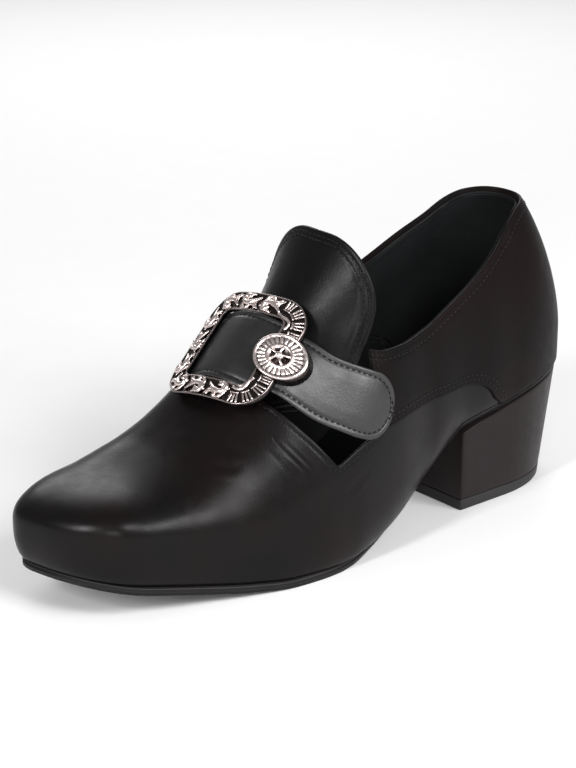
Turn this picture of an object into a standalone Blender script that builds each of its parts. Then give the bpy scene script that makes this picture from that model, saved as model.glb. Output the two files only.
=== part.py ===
"""A left buckle shoe with a square toe, a tall flared tongue, a block heel and an ornate strap buckle.

Frame: +Z up, the toe points to -Y and the outer (lateral) side of the foot is +X. The origin is on the
floor at the middle of the heel's foot. Places along the shoe are stations, counted from the back of the
heel towards the toe, and every size below is in millimetres.
"""
import math

import bmesh
import bpy
import numpy as np
from mathutils import Vector

MM = 0.001

# Driving sizes
LENGTH = 277.0
FIT_GAP = 0.3
WALL = 2.2
QUARTER_STEP = 1.2
HEEL_AXIS = 45.0
TOE_AXIS = 245.0
HEEL_ROUND = 2.15
TOE_SQUARE = 3.0
TOE_SKEW = 0.16

# Underside of the outsole and its thickness: station, height, thickness
SOLE = (
    (0, 51.6, 2.6),
    (20, 50.0, 2.6),
    (35, 47.6, 2.6),
    (55, 43.0, 2.6),
    (77, 37.8, 2.6),
    (84, 33.4, 2.6),
    (95, 25.0, 2.7),
    (112, 13.8, 2.9),
    (125, 7.4, 3.1),
    (140, 2.8, 3.3),
    (155, 0.5, 3.4),
    (162, 0.0, 3.4),
    (184, 0.0, 3.4),
    (204, 2.0, 3.4),
    (225, 5.6, 3.4),
    (250, 10.6, 3.4),
    (277, 16.0, 3.4),
)

# How far the outsole's edge stands out past the feather line: station, margin
SOLE_MARGIN = (
    (0, 0.4),
    (77, 0.0),
    (100, -2.5),
    (140, -1.0),
    (170, 1.4),
    (210, 2.0),
    (250, 2.0),
    (277, 1.0),
)

# The last: station, outer and inner feather line, ridge's place across, swell of the wall past the
# feather line, height of the widest point above it, height of the ridge, squareness of the section
LAST = (
    (0, 33.0, 33.0, 0.0, 0.0, 15.0, 151.0, 1.6),
    (45, 33.0, 32.5, 0.0, 1.5, 19.0, 151.0, 1.7),
    (62, 32.5, 31.5, 0.0, 3.5, 20.0, 152.0, 1.85),
    (80, 31.5, 30.0, 0.0, 5.0, 21.0, 154.0, 1.95),
    (100, 32.5, 29.5, -0.5, 7.0, 21.0, 153.0, 2.0),
    (122, 38.0, 31.5, -1.5, 7.0, 21.0, 148.0, 2.05),
    (140, 43.0, 35.0, -2.5, 5.5, 21.0, 133.0, 2.1),
    (155, 46.5, 38.0, -4.0, 3.5, 20.0, 114.0, 2.1),
    (167, 47.0, 40.0, -5.5, 3.0, 19.0, 100.5, 2.1),
    (180, 46.0, 41.5, -7.0, 2.5, 18.0, 87.8, 2.1),
    (190, 44.5, 42.0, -8.5, 2.0, 17.0, 78.8, 2.1),
    (201, 42.0, 42.0, -10.0, 2.0, 16.0, 69.4, 2.15),
    (212, 39.5, 41.5, -10.0, 2.2, 16.0, 62.2, 2.25),
    (224, 36.5, 40.0, -9.5, 2.5, 15.0, 56.6, 2.5),
    (245, 31.5, 34.5, -7.0, 3.2, 15.0, 51.0, 3.1),
    (262, 27.5, 29.0, -4.0, 3.8, 15.0, 49.5, 3.6),
    (277, 23.0, 24.0, -1.0, 4.0, 15.0, 47.5, 3.8),
)

# Heights of the shell's rows: from the feather line to the widest point, then even steps to the ridge
LOW_TURNS = (-1.0, -0.62, -0.3)
HIGH_TURNS = 9

# Columns round the shoe: steps round the toe and the heel, and the step along the sides
TOE_STEPS = 9
HEEL_STEPS = 8
SIDE_STEP = 9.5

# Points closer than this are one point
MERGE = 0.02

# Lines seen from the side: station, height
TOPLINE = (
    (-20, 128.0),
    (10, 130.0),
    (22, 131.0),
    (32, 129.8),
    (40, 126.5),
    (50, 119.5),
    (62, 112.5),
    (76, 105.0),
    (92, 98.0),
    (107, 92.6),
    (119, 91.0),
    (131, 91.2),
    (139, 93.0),
)
NOTCH_BACK = (142.0, 57.0)
NOTCH_BOTTOM = (163.0, 49.0)
THROAT_SIDE = (183.0, 77.0)
THROAT_TOP = (193.0, 92.0)
SEAM = (
    (50, 30.0),
    (54, 44.0),
    (60, 49.5),
    (65, 55.5),
    (71, 59.2),
    (80, 61.2),
    (98, 61.0),
    (116, 60.2),
    (131, 58.8),
    (145, 56.5),
    (163, 49.0),
)

# Room that a cutter takes: its height, half its width, and how far behind the heel it reaches
HIGH = 260.0
HALF_ROOM = 90.0
BEHIND = -40.0
TOPLINE_POINTS = 24

# Heel: its foot is set in from its top at the back, and a top piece closes it below. The seat gap keeps
# the block clear of the outsole's curved seat
HEEL_BREAST = 78.0
HEEL_FOOT_BACK = 9.5
HEEL_FOOT_HALF = 33.0
HEEL_TOP_HALF = 33.8
HEEL_FOOT_ROUND = 42.0
HEEL_TOP_ROUND = 46.0
TOP_PIECE = 5.0
SEAT_GAP = 0.45
HEEL_CENTRE = (HEEL_BREAST + HEEL_FOOT_BACK) / 2

INSOLE_THICK = 2.0
INSOLE_INSET = 0.6

# Tongue: station and height of its middle line on the outer face, place across, half width, fall of its
# sides behind the middle. Between its foot and the table it follows the ridge, a little below it
TONGUE = (
    (180.0, 85.0, -2.5, 38.0, 24.0),
    (170.0, 92.6, -0.5, 37.5, 25.0),
    (160.0, 102.5, 1.0, 36.5, 24.0),
    (150.0, 115.0, 2.5, 35.5, 19.0),
    (142.0, 127.5, 3.5, 35.0, 14.0),
    (137.0, 136.5, 4.0, 34.5, 11.0),
)
TONGUE_FOOT = 204.0
TONGUE_FOOT_DROP = 3.0
TONGUE_FOOT_LEAN = 0.6
TONGUE_FOOT_HALF = 28.0
TONGUE_FOOT_FALL = 9.5
TONGUE_FOOT_ROWS = 4
TONGUE_ROWS = 16
TONGUE_HALF_STEPS = 6
TONGUE_FREE = (180.0, 160.0)
TONGUE_GAP = 0.7
TONGUE_THICK = 2.2
TONGUE_CORNER = 27.0

# The tongue stays inside the last, apart from what stands in front of the quarters or this far over
# their topline
QUARTER_FRONT = 144.0
TONGUE_RISE = 4.0

# Stretch of the instep that bands are laid on: first station, step, rows, lowest turn, steps up a side
INSTEP_FROM = 112.0
INSTEP_STEP = 2.2
INSTEP_ROWS = 46
INSTEP_LOW = -0.4
INSTEP_STEPS = 34

# Strap: place across, station and height of its middle line on the inner side, from the quarter up, and
# on the outer side, down to the middle of its round end. It lies a lift over the quarters, bulges in the
# buckle's window, and passes under the buckle's bars with a gap
STRAP_INNER = ((-42.0, 143.0, 60.0), (-41.0, 154.0, 62.0), (-38.5, 166.0, 67.0), (-32.0, 176.0, 76.0))
STRAP_OUTER = ((37.0, 162.0, 80.0), (39.5, 153.5, 74.6), (40.5, 145.5, 70.4))
STRAP_END = (41.0, 133.8, 65.4)
STRAP_HALF = 14.3
STRAP_THICK = 2.0
STRAP_LIFT = 0.7
STRAP_BULGE = 3.4
STRAP_UNDER = 0.5
STRAP_ACROSSES = (-1.0, -0.5, 0.0, 0.5, 1.0)
STRAP_BUCKLE_STEPS = 6
STRAP_END_STEPS = 6
STRAP_TIP_SHARE = 0.96

# Buckle: place of its middle, slope of the instep under it, turn in its own plane, sizes of the frame
BUCKLE_MIDDLE = (0.5, 181.0, 94.2)
BUCKLE_SLOPE = 38.0
BUCKLE_TURN = 9.0
BUCKLE_HALF = 27.2
BUCKLE_WINDOW = 17.4
BUCKLE_CORNER = 13.0
WINDOW_CORNER = 3.5
BUCKLE_THICK = 3.2
BUCKLE_BEND = 68.0
BUCKLE_CORNER_STEPS = 6

# Section of the frame's face: share of its width from the window out, share of half its thickness
FRAME_SECTION = ((0.0, 0.35), (0.3, 0.95), (0.65, 1.0), (1.0, 0.2))
ROSETTE_AT = 24.4
ROSETTE_RADIUS = 9.4
ROSETTE_THICK = 2.6
ROSETTE_SIDES = 28

# Section of the rosette: share of its radius, share of its thickness over the frame
ROSETTE_SECTION = ((0.0, 1.0), (0.3, 0.95), (0.75, 0.55), (1.0, 0.3))
BAR_RADIUS = 1.3
BAR_OVERLAP = 5.0
BAR_SIDES = 10


def smooth(table, at, column=1):
    """Monotone cubic through a table's rows, so that a flat run stays flat and nothing overshoots."""
    x = np.array([row[0] for row in table], float)
    y = np.array([row[column] for row in table], float)
    h = np.diff(x)
    slope = np.diff(y) / h
    m = np.zeros(len(x))
    m[0], m[-1] = slope[0], slope[-1]
    for i in range(1, len(x) - 1):
        if slope[i - 1] * slope[i] > 0:
            w1, w2 = 2 * h[i] + h[i - 1], h[i] + 2 * h[i - 1]
            m[i] = (w1 + w2) / (w1 / slope[i - 1] + w2 / slope[i])
    at = min(max(at, x[0]), x[-1])
    i = min(max(int(np.searchsorted(x, at)) - 1, 0), len(h) - 1)
    t = (at - x[i]) / h[i]
    return (
        y[i] * (1 + 2 * t) * (1 - t) ** 2
        + m[i] * h[i] * t * (1 - t) ** 2
        + y[i + 1] * t * t * (3 - 2 * t)
        + m[i + 1] * h[i] * t * t * (t - 1)
    )


def place(x, station, z):
    """A point of the shoe in metres. The toe's end is sheared, so that its inner corner leads."""
    end = max(station - TOE_AXIS, 0.0) / (LENGTH - TOE_AXIS)
    station -= TOE_SKEW * x * end * end
    return Vector((x * MM, (HEEL_CENTRE - station) * MM, z * MM))


def columns():
    """Columns down one side of the shoe, toe to heel: axis they stand round, station, share of width."""
    found = []
    for i in range(TOE_STEPS):
        angle = 0.5 * math.pi * (1 - i / TOE_STEPS)
        share = math.cos(angle) ** (2 / TOE_SQUARE) if i else 0.0
        found.append((TOE_AXIS, TOE_AXIS + (LENGTH - TOE_AXIS) * math.sin(angle) ** (2 / TOE_SQUARE), share))
    count = round((TOE_AXIS - HEEL_AXIS) / SIDE_STEP)
    for i in range(count + 1):
        station = TOE_AXIS + (HEEL_AXIS - TOE_AXIS) * i / count
        found.append((station, station, 1.0))
    for i in range(1, HEEL_STEPS + 1):
        angle = 0.5 * math.pi * i / HEEL_STEPS
        share = math.cos(angle) ** (2 / HEEL_ROUND) if i < HEEL_STEPS else 0.0
        found.append((HEEL_AXIS, HEEL_AXIS * (1 - math.sin(angle) ** (2 / HEEL_ROUND)), share))
    return found


def spoke(column, side):
    """Foot of a column on its axis, the direction outwards, and how far out the feather line lies."""
    axis, station, share = column
    centre = smooth(LAST, axis, 3)
    edge = smooth(LAST, station, 1) if side > 0 else -smooth(LAST, station, 2)
    out = (edge - centre) * share
    reach = math.hypot(out, station - axis)
    return centre, axis, out / reach, (station - axis) / reach, reach


def rim(column, side, margin):
    """A point of the feather line in plan, moved outwards by a margin."""
    centre, axis, across, along, reach = spoke(column, side)
    return centre + across * (reach + margin), axis + along * (reach + margin)


def underside(station):
    """Height of the outsole's underside, which is flat from one column to the next."""
    stations = [column[1] for column in columns()][::-1]
    return float(np.interp(station, stations, [smooth(SOLE, s) for s in stations]))


def thickness(station):
    return smooth(SOLE, station, 2)


def last_point(column, side, turn, offset):
    """A point of the last's surface, moved outwards. turn runs from -1 at the feather line through 0 at
    the widest point to 1 on the ridge."""
    centre, axis, across, along, reach = spoke(column, side)
    swell, rise, power = (smooth(LAST, column[1], i) for i in (4, 5, 7))
    station = axis + along * (reach + offset)
    foot = underside(station) + thickness(station) + FIT_GAP
    if turn <= 0:
        angle = 0.5 * math.pi * (1 + turn)
        radius = reach + offset + swell * math.sin(angle)
        height = foot + rise * (1 - math.cos(angle))
    else:
        angle = 0.5 * math.pi * turn
        radius = (reach + offset + swell) * max(math.cos(angle), 0.0) ** (2 / power)
        here = axis + along * radius
        slope = (smooth(LAST, here + 1, 6) - smooth(LAST, here - 1, 6)) / 2
        ridge = smooth(LAST, here, 6) + offset * math.hypot(1, slope)
        height = foot + rise + (ridge - foot - rise) * math.sin(angle) ** (2 / power)
    return centre + across * radius, axis + along * radius, height


def mesh_object(name, bm, collection):
    mesh = bpy.data.meshes.new(name)
    bm.to_mesh(mesh)
    bm.free()
    made = bpy.data.objects.new(name, mesh)
    collection.objects.link(made)
    return made


def loft(name, faces_out, faces_in, collection, ends=True):
    """A closed solid between two grids of points: rows of its outer face, and the same of its inner."""
    bm = bmesh.new()
    outer = [[bm.verts.new(p) for p in row] for row in faces_out]
    inner = [[bm.verts.new(p) for p in row] for row in faces_in]
    rows, count = len(outer), len(outer[0])
    for i in range(rows - 1):
        for j in range(count - 1):
            bm.faces.new((outer[i][j], outer[i][j + 1], outer[i + 1][j + 1], outer[i + 1][j]))
            bm.faces.new((inner[i][j], inner[i + 1][j], inner[i + 1][j + 1], inner[i][j + 1]))
        bm.faces.new((outer[i][0], outer[i + 1][0], inner[i + 1][0], inner[i][0]))
        bm.faces.new((outer[i][-1], inner[i][-1], inner[i + 1][-1], outer[i + 1][-1]))
    if ends:
        for i in (0, rows - 1):
            for j in range(count - 1):
                bm.faces.new((outer[i][j], inner[i][j], inner[i][j + 1], outer[i][j + 1]))
    bmesh.ops.remove_doubles(bm, verts=bm.verts, dist=MERGE * MM)
    bmesh.ops.recalc_face_normals(bm, faces=bm.faces)
    return mesh_object(name, bm, collection)


def last_shell(name, outside, inside, collection):
    """A hollow shell over the whole last, between two offsets from it, open underneath."""
    heights = [*LOW_TURNS, *(i / HIGH_TURNS for i in range(HIGH_TURNS + 1))]
    grids = []
    for offset in (outside, inside):
        grid = []
        for column in columns():
            halves = []
            for side in (1, -1):
                points = [last_point(column, side, turn, offset) for turn in heights]
                halves.append([place(*point) for point in points])
            grid.append(halves[0] + halves[1][::-1][1:])
        grids.append(grid)
    return loft(name, grids[0], grids[1], collection, ends=False)


def side_prism(name, outline, collection):
    """A cutter through the whole shoe whose outline is drawn in side view, as (station, height)."""
    bm = bmesh.new()
    ring = [bm.verts.new((-HALF_ROOM * MM, (HEEL_CENTRE - s) * MM, z * MM)) for s, z in outline]
    pushed = bmesh.ops.extrude_face_region(bm, geom=[bm.faces.new(ring)])
    moved = [v for v in pushed["geom"] if isinstance(v, bmesh.types.BMVert)]
    bmesh.ops.translate(bm, vec=Vector((2 * HALF_ROOM * MM, 0, 0)), verts=moved)
    bmesh.ops.recalc_face_normals(bm, faces=bm.faces)
    made = mesh_object(name, bm, collection)
    made.hide_render = True
    made.display_type = "WIRE"
    return made


def line_points(table, count):
    ends = np.linspace(table[0][0], table[-1][0], count)
    return [(s, smooth(table, s)) for s in ends]


def cut(target, tool, operation):
    """Applies a Boolean at once, so that its result can be cut again."""
    modifier = target.modifiers.new(operation.title(), "BOOLEAN")
    modifier.operation = operation
    modifier.object = tool
    graph = bpy.context.evaluated_depsgraph_get()
    target.data = bpy.data.meshes.new_from_object(target.evaluated_get(graph))
    target.modifiers.clear()
    tool.hide_render = True
    tool.display_type = "WIRE"


def material(name, colour, roughness, metallic=0.0):
    made = bpy.data.materials.new(name)
    made.use_nodes = True
    shader = made.node_tree.nodes["Principled BSDF"]
    shader.inputs["Base Color"].default_value = (*colour, 1.0)
    shader.inputs["Roughness"].default_value = roughness
    shader.inputs["Metallic"].default_value = metallic
    return made


def finish(part, surface, angle=35.0):
    part.data.materials.clear()
    part.data.materials.append(surface)
    part.data.shade_smooth()
    part.data.set_sharp_from_angle(angle=math.radians(angle))


def make_upper(parts, cutters):
    """Vamp and quarters in one hollow wall. The quarters lie over the vamp as a raised step."""
    upper = last_shell("upper", 0.0, -WALL, parts)
    quarter = last_shell("quarter_layer", QUARTER_STEP, -WALL / 2, cutters)
    region = [(BEHIND, SEAM[0][1]), *SEAM, (SEAM[-1][0], HIGH), (BEHIND, HIGH)]
    cut(quarter, side_prism("quarter_region", region, cutters), "INTERSECT")
    cut(upper, quarter, "UNION")
    opening = [
        *line_points(TOPLINE, TOPLINE_POINTS),
        NOTCH_BACK,
        NOTCH_BOTTOM,
        THROAT_SIDE,
        THROAT_TOP,
        (THROAT_TOP[0], HIGH),
        (TOPLINE[0][0], HIGH),
    ]
    cut(upper, side_prism("collar_and_throat", opening, cutters), "DIFFERENCE")
    return upper


def sole_layer(name, margin, low, high, collection):
    """A layer of the sole between two heights over the outsole's underside, out to a margin."""
    tops, bottoms = [], []
    for column in columns():
        ends = [rim(column, side, margin(column[1])) for side in (1, -1)]
        top, bottom = [], []
        for t in (0.0, 0.5, 1.0):
            x = ends[0][0] + (ends[1][0] - ends[0][0]) * t
            station = ends[0][1] + (ends[1][1] - ends[0][1]) * t
            base = underside(station)
            top.append(place(x, station, base + high(station)))
            bottom.append(place(x, station, base + low(station)))
        tops.append(top)
        bottoms.append(bottom)
    return loft(name, tops, bottoms, collection, ends=False)


def make_outsole(parts):
    return sole_layer("outsole", lambda s: smooth(SOLE_MARGIN, s), lambda s: 0.0, thickness, parts)


def make_insole(parts):
    return sole_layer(
        "insole",
        lambda s: -WALL - INSOLE_INSET,
        lambda s: thickness(s) + FIT_GAP,
        lambda s: thickness(s) + FIT_GAP + INSOLE_THICK,
        parts,
    )


def heel_outline(half, back, rounding, steps=12):
    """One side of the heel in plan, breast to back, as (station, half width)."""
    points = [(HEEL_BREAST, half), ((HEEL_BREAST + back + rounding) / 2, half), (back + rounding, half)]
    for i in range(1, steps + 1):
        angle = 0.5 * math.pi * i / steps
        share = math.cos(angle) ** (2 / HEEL_ROUND) if i < steps else 0.0
        points.append((back + rounding * (1 - math.sin(angle) ** (2 / HEEL_ROUND)), half * share))
    return points


def heel_layer(name, top_share, bottom_share, top_height, bottom_height, parts):
    """A slice of the heel. A share of 0 is the heel's foot and 1 its seat under the sole."""
    foot = heel_outline(HEEL_FOOT_HALF, HEEL_FOOT_BACK, HEEL_FOOT_ROUND)
    seat = heel_outline(HEEL_TOP_HALF, 0.0, HEEL_TOP_ROUND)
    faces = []
    for share, height in ((top_share, top_height), (bottom_share, bottom_height)):
        rows = []
        for (s0, w0), (s1, w1) in zip(foot, seat):
            station, half = s0 + (s1 - s0) * share, w0 + (w1 - w0) * share
            rows.append([place(x, station, height(station)) for x in (half, 0.0, -half)])
        faces.append(rows)
    return loft(name, faces[0], faces[1], parts)


def make_heel(parts):
    split = TOP_PIECE / SOLE[0][1]
    block = heel_layer(
        "heel_block", 1.0, split, lambda s: underside(s) - SEAT_GAP, lambda s: TOP_PIECE + FIT_GAP, parts
    )
    top_piece = heel_layer("top_piece", split, 0.0, lambda s: TOP_PIECE, lambda s: 0.0, parts)
    return block, top_piece


def last_samples():
    """Points of the last's surface over the instep and their outward normals, for laying bands on it."""
    rows = []
    turns = [INSTEP_LOW + (1 - INSTEP_LOW) * j / INSTEP_STEPS for j in range(INSTEP_STEPS + 1)]
    for i in range(INSTEP_ROWS):
        station = INSTEP_FROM + INSTEP_STEP * i
        column = (station, station, 1.0)
        outer = [last_point(column, 1, turn, 0.0) for turn in turns]
        inner = [last_point(column, -1, turn, 0.0) for turn in turns[:-1]]
        rows.append(outer + inner[::-1])
    grid = np.array(rows)
    along = np.gradient(grid, axis=0)
    across = np.gradient(grid, axis=1)
    normals = np.cross(along, across)
    normals /= np.linalg.norm(normals, axis=2, keepdims=True)
    middle = grid.mean(axis=(0, 1))
    if ((grid - middle) * normals).sum(axis=2).mean() < 0:
        normals = -normals
    return grid.reshape(-1, 3), normals.reshape(-1, 3)


def lay_on(samples, point, lift, reach=5.0):
    """Moves a point along the surface's normal until it stands at a given height over it."""
    points, normals = samples
    spot = np.array(point, float)
    for _ in range(4):
        away = ((points - spot) ** 2).sum(axis=1)
        weight = np.exp(-(away - away.min()) / (2 * reach * reach))
        weight /= weight.sum()
        centre = weight @ points
        normal = weight @ normals
        normal /= np.linalg.norm(normal)
        spot = spot - ((spot - centre) @ normal) * normal
    return spot + normal * lift, normal


def make_tongue(samples, parts):
    """The tongue leaves the vamp's inside at its foot and flares up and back to a rounded top."""
    table = [(i, *row) for i, row in enumerate(TONGUE)]
    rows = []
    for i in range(TONGUE_FOOT_ROWS):
        station = TONGUE_FOOT + (TONGUE[0][0] - TONGUE_FOOT) * i / TONGUE_FOOT_ROWS
        height = smooth(LAST, station, 6) - TONGUE_FOOT_DROP
        across = smooth(LAST, station, 3) * TONGUE_FOOT_LEAN
        rows.append((station, height, across, TONGUE_FOOT_HALF, TONGUE_FOOT_FALL))
    for i in range(TONGUE_ROWS + 1):
        at = (len(TONGUE) - 1) * i / TONGUE_ROWS
        rows.append(tuple(smooth(table, at, k) for k in range(1, 6)))
    top = rows[-1]
    outer, inner = [], []
    for i, (station, height, across, half, fall) in enumerate(rows):
        before, after = rows[max(i - 1, 0)], rows[min(i + 1, len(rows) - 1)]
        run = math.hypot(after[0] - before[0], after[1] - before[1])
        out_s, out_z = (after[1] - before[1]) / run, (before[0] - after[0]) / run
        left = math.hypot(station - top[0], height - top[1])
        full = half
        if left < TONGUE_CORNER:
            half -= TONGUE_CORNER * (1 - math.sqrt(max(1 - (1 - left / TONGUE_CORNER) ** 2, 0.0)))
        blend = min(max((TONGUE_FREE[0] - station) / (TONGUE_FREE[0] - TONGUE_FREE[1]), 0.0), 1.0)
        faces = ([], [])
        for j in range(2 * TONGUE_HALF_STEPS + 1):
            q = (j / TONGUE_HALF_STEPS - 1) * half
            sink = fall * (q / full) ** 2
            tilt = math.atan(2 * fall * q / full**2)
            free = np.array((across + q, station - out_s * sink, height - out_z * sink))
            normal = np.array((math.sin(tilt), out_s * math.cos(tilt), out_z * math.cos(tilt)))
            laid, laid_normal = lay_on(samples, free, -WALL - TONGUE_GAP)
            room = max(free[1] - QUARTER_FRONT, free[2] - smooth(TOPLINE, free[1]) - TONGUE_RISE, 0.0)
            over = (free - laid) @ laid_normal
            free = free - laid_normal * max(over - room, 0.0)
            spot = laid * (1 - blend) + free * blend
            normal = laid_normal * (1 - blend) + normal * blend
            normal /= np.linalg.norm(normal)
            faces[0].append(place(*spot))
            faces[1].append(place(*(spot - normal * TONGUE_THICK)))
        outer.append(faces[0])
        inner.append(faces[1])
    return loft("tongue", outer, inner, parts)


def buckle_point(u, v, n):
    """A point in the buckle's frame: u across the strap, v up the instep, n outwards, bent to the foot."""
    slope, turn = math.radians(BUCKLE_SLOPE), math.radians(BUCKLE_TURN)
    level = np.array((1.0, 0.0, 0.0))
    uphill = np.array((0.0, -math.cos(slope), math.sin(slope)))
    outward = np.array((0.0, math.sin(slope), math.cos(slope)))
    axis_u = level * math.cos(turn) + uphill * math.sin(turn)
    axis_v = uphill * math.cos(turn) - level * math.sin(turn)
    bend = u * u / (2 * BUCKLE_BEND)
    return np.array(BUCKLE_MIDDLE) + axis_u * u + axis_v * v + outward * (n - bend)


def rounded_square(half, corner, steps, along=4):
    """Points round a square with round corners, with a few along its straight sides."""
    points = []
    for quarter in range(4):
        sign_u = 1 if quarter in (0, 3) else -1
        sign_v = 1 if quarter in (0, 1) else -1
        for i in range(steps + 1):
            angle = 0.5 * math.pi * (quarter + i / steps)
            u = sign_u * (half - corner) + corner * math.cos(angle)
            v = sign_v * (half - corner) + corner * math.sin(angle)
            points.append((u, v))
        straight = 2 * (half - corner)
        way_u, way_v = -math.sin(angle), math.cos(angle)
        for i in range(1, along):
            points.append((u + way_u * straight * i / along, v + way_v * straight * i / along))
    return points


def buckle_rows(places, heights):
    """Matching rows of a casting's face and back. places are (u, v) along each row."""
    half = BUCKLE_THICK / 2
    top = [place(*buckle_point(u, v, n)) for (u, v), n in zip(places, heights)]
    return top, [place(*buckle_point(u, v, -half)) for u, v in places]


def make_buckle(parts, cutters):
    """Cast frame with a round boss on its outer bar."""
    outer = rounded_square(BUCKLE_HALF, BUCKLE_CORNER, BUCKLE_CORNER_STEPS)
    inner = rounded_square(BUCKLE_WINDOW, WINDOW_CORNER, BUCKLE_CORNER_STEPS)
    half = BUCKLE_THICK / 2
    rows = []
    for (u0, v0), (u1, v1) in zip(inner + inner[:1], outer + outer[:1]):
        places = [(u0 + (u1 - u0) * t, v0 + (v1 - v0) * t) for t, _ in FRAME_SECTION]
        rows.append(buckle_rows(places, [half * n for _, n in FRAME_SECTION]))
    frame = loft("buckle", [top for top, _ in rows], [back for _, back in rows], parts, ends=False)
    rows = []
    for i in range(ROSETTE_SIDES + 1):
        angle = 2 * math.pi * i / ROSETTE_SIDES
        radii = [ROSETTE_RADIUS * share for share, _ in ROSETTE_SECTION]
        places = [(ROSETTE_AT + radius * math.cos(angle), radius * math.sin(angle)) for radius in radii]
        rows.append(buckle_rows(places, [half + ROSETTE_THICK * rise for _, rise in ROSETTE_SECTION]))
    boss = loft("buckle_boss", [top for top, _ in rows], [back for _, back in rows], cutters, ends=False)
    cut(frame, boss, "UNION")
    return frame


def make_bar(parts):
    """Straight bar under the strap, from the frame's upper rail to its lower one."""
    drop = -BUCKLE_THICK / 2 - FIT_GAP - BAR_RADIUS
    reach = BUCKLE_WINDOW + BAR_OVERLAP
    radius = BAR_RADIUS * MM
    bm = bmesh.new()
    bmesh.ops.create_cone(
        bm, cap_ends=True, segments=BAR_SIDES, radius1=radius, radius2=radius, depth=2 * reach * MM
    )
    low, high = place(*buckle_point(0, -reach, drop)), place(*buckle_point(0, reach, drop))
    turn = (high - low).to_track_quat("Z", "Y").to_matrix().to_4x4()
    turn.translation = (low + high) / 2
    bmesh.ops.transform(bm, matrix=turn, verts=bm.verts)
    return mesh_object("buckle_bar", bm, parts)


def strap_height(u):
    """Height of the strap's upper face in the buckle's frame: under both bars, up over the middle one."""
    bulge = STRAP_BULGE * max(1 - (u / (BUCKLE_WINDOW - 1.0)) ** 2, 0.0) ** 1.5
    return bulge - BUCKLE_THICK / 2 - STRAP_UNDER


def strap_rows(samples):
    """Rows of points over the strap's upper face and the normals there, inner quarter to free end."""
    rows = []
    lift = QUARTER_STEP + STRAP_LIFT + STRAP_THICK

    def laid_row(middle, ahead, half):
        _, normal = lay_on(samples, middle, 0.0)
        wide = np.cross(ahead, normal)
        wide /= np.linalg.norm(wide)
        found = [lay_on(samples, np.array(middle) + wide * half * a, lift) for a in STRAP_ACROSSES]
        rows.append(([spot for spot, _ in found], [way for _, way in found]))

    inner = [np.array(p) for p in STRAP_INNER]
    for i, middle in enumerate(inner):
        ahead = inner[min(i + 1, len(inner) - 1)] - inner[max(i - 1, 0)]
        laid_row(middle, ahead, STRAP_HALF)
    for i in range(2 * STRAP_BUCKLE_STEPS + 1):
        u = BUCKLE_HALF * (i / STRAP_BUCKLE_STEPS - 1)
        base = buckle_point(u, 0, 0)
        way = np.cross(buckle_point(u, 1, 0) - base, buckle_point(u + 1, 0, 0) - buckle_point(u - 1, 0, 0))
        way /= np.linalg.norm(way)
        spots = [buckle_point(u, a * STRAP_HALF, strap_height(u)) for a in STRAP_ACROSSES]
        rows.append((spots, [way] * len(spots)))
    outer = [np.array(p) for p in STRAP_OUTER]
    end = np.array(STRAP_END)
    for i, middle in enumerate(outer):
        ahead = (outer + [end])[i + 1] - outer[max(i - 1, 0)]
        laid_row(middle, ahead, STRAP_HALF)
    for i in range(1, STRAP_END_STEPS + 1):
        angle = 0.5 * math.pi * STRAP_TIP_SHARE * i / STRAP_END_STEPS
        middle = outer[-1] + (end - outer[-1]) * math.sin(angle)
        laid_row(middle, end - outer[-1], STRAP_HALF * math.cos(angle))
    return rows


def make_strap(samples, parts):
    tops, bottoms = [], []
    for spots, ways in strap_rows(samples):
        tops.append([place(*spot) for spot in spots])
        bottoms.append([place(*(spot - way * STRAP_THICK)) for spot, way in zip(spots, ways)])
    return loft("strap", tops, bottoms, parts)


def main():
    for old in list(bpy.data.objects):
        bpy.data.objects.remove(old)
    parts = bpy.data.collections.new("buckle_shoe")
    cutters = bpy.data.collections.new("cutters")
    for group in (parts, cutters):
        bpy.context.scene.collection.children.link(group)
    leather = material("black_leather", (0.012, 0.011, 0.011), 0.38)
    rubber = material("black_sole", (0.015, 0.014, 0.014), 0.6)
    covered = material("covered_heel", (0.02, 0.017, 0.018), 0.45)
    lining = material("dark_lining", (0.01, 0.01, 0.01), 0.8)
    silver = material("old_silver", (0.62, 0.55, 0.53), 0.3, 1.0)
    finish(make_upper(parts, cutters), leather)
    finish(make_outsole(parts), rubber)
    finish(make_insole(parts), lining)
    block, top_piece = make_heel(parts)
    finish(block, covered)
    finish(top_piece, rubber)
    samples = last_samples()
    finish(make_tongue(samples, parts), leather)
    finish(make_strap(samples, parts), leather)
    finish(make_buckle(parts, cutters), silver)
    finish(make_bar(parts), silver)


main()
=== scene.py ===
"""Looks of a left buckle shoe in black leather, with an ornate silver buckle on its instep strap.

The shoe stands on its heel and the ball of its sole, with its toe towards -Y and its outer side at +X.
Places along it are stations, counted in millimetres from the back of the heel towards the toe. The
sizes below are in millimetres, and meshes are made in metres.
"""

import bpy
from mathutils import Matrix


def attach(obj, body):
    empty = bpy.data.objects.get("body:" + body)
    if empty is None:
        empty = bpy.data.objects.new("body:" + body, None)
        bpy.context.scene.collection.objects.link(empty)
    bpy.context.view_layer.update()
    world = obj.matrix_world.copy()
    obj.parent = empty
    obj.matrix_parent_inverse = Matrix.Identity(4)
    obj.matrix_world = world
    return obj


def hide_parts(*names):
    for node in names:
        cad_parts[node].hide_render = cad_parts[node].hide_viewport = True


bl_info = {
    "name": "Buckle shoe",
    "version": (1, 0, 0),
    "blender": (4, 5, 0),
    "location": "View3D > Sidebar > Buckle shoe",
    "description": "Builds the leather, stitching, sole and cast buckle of a buckle shoe",
    "category": "Object",
}

import math

import bmesh
import bpy
import numpy as np
from bpy.props import FloatProperty, FloatVectorProperty, IntProperty, PointerProperty
from mathutils import Matrix, Vector
from mathutils.bvhtree import BVHTree

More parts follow.
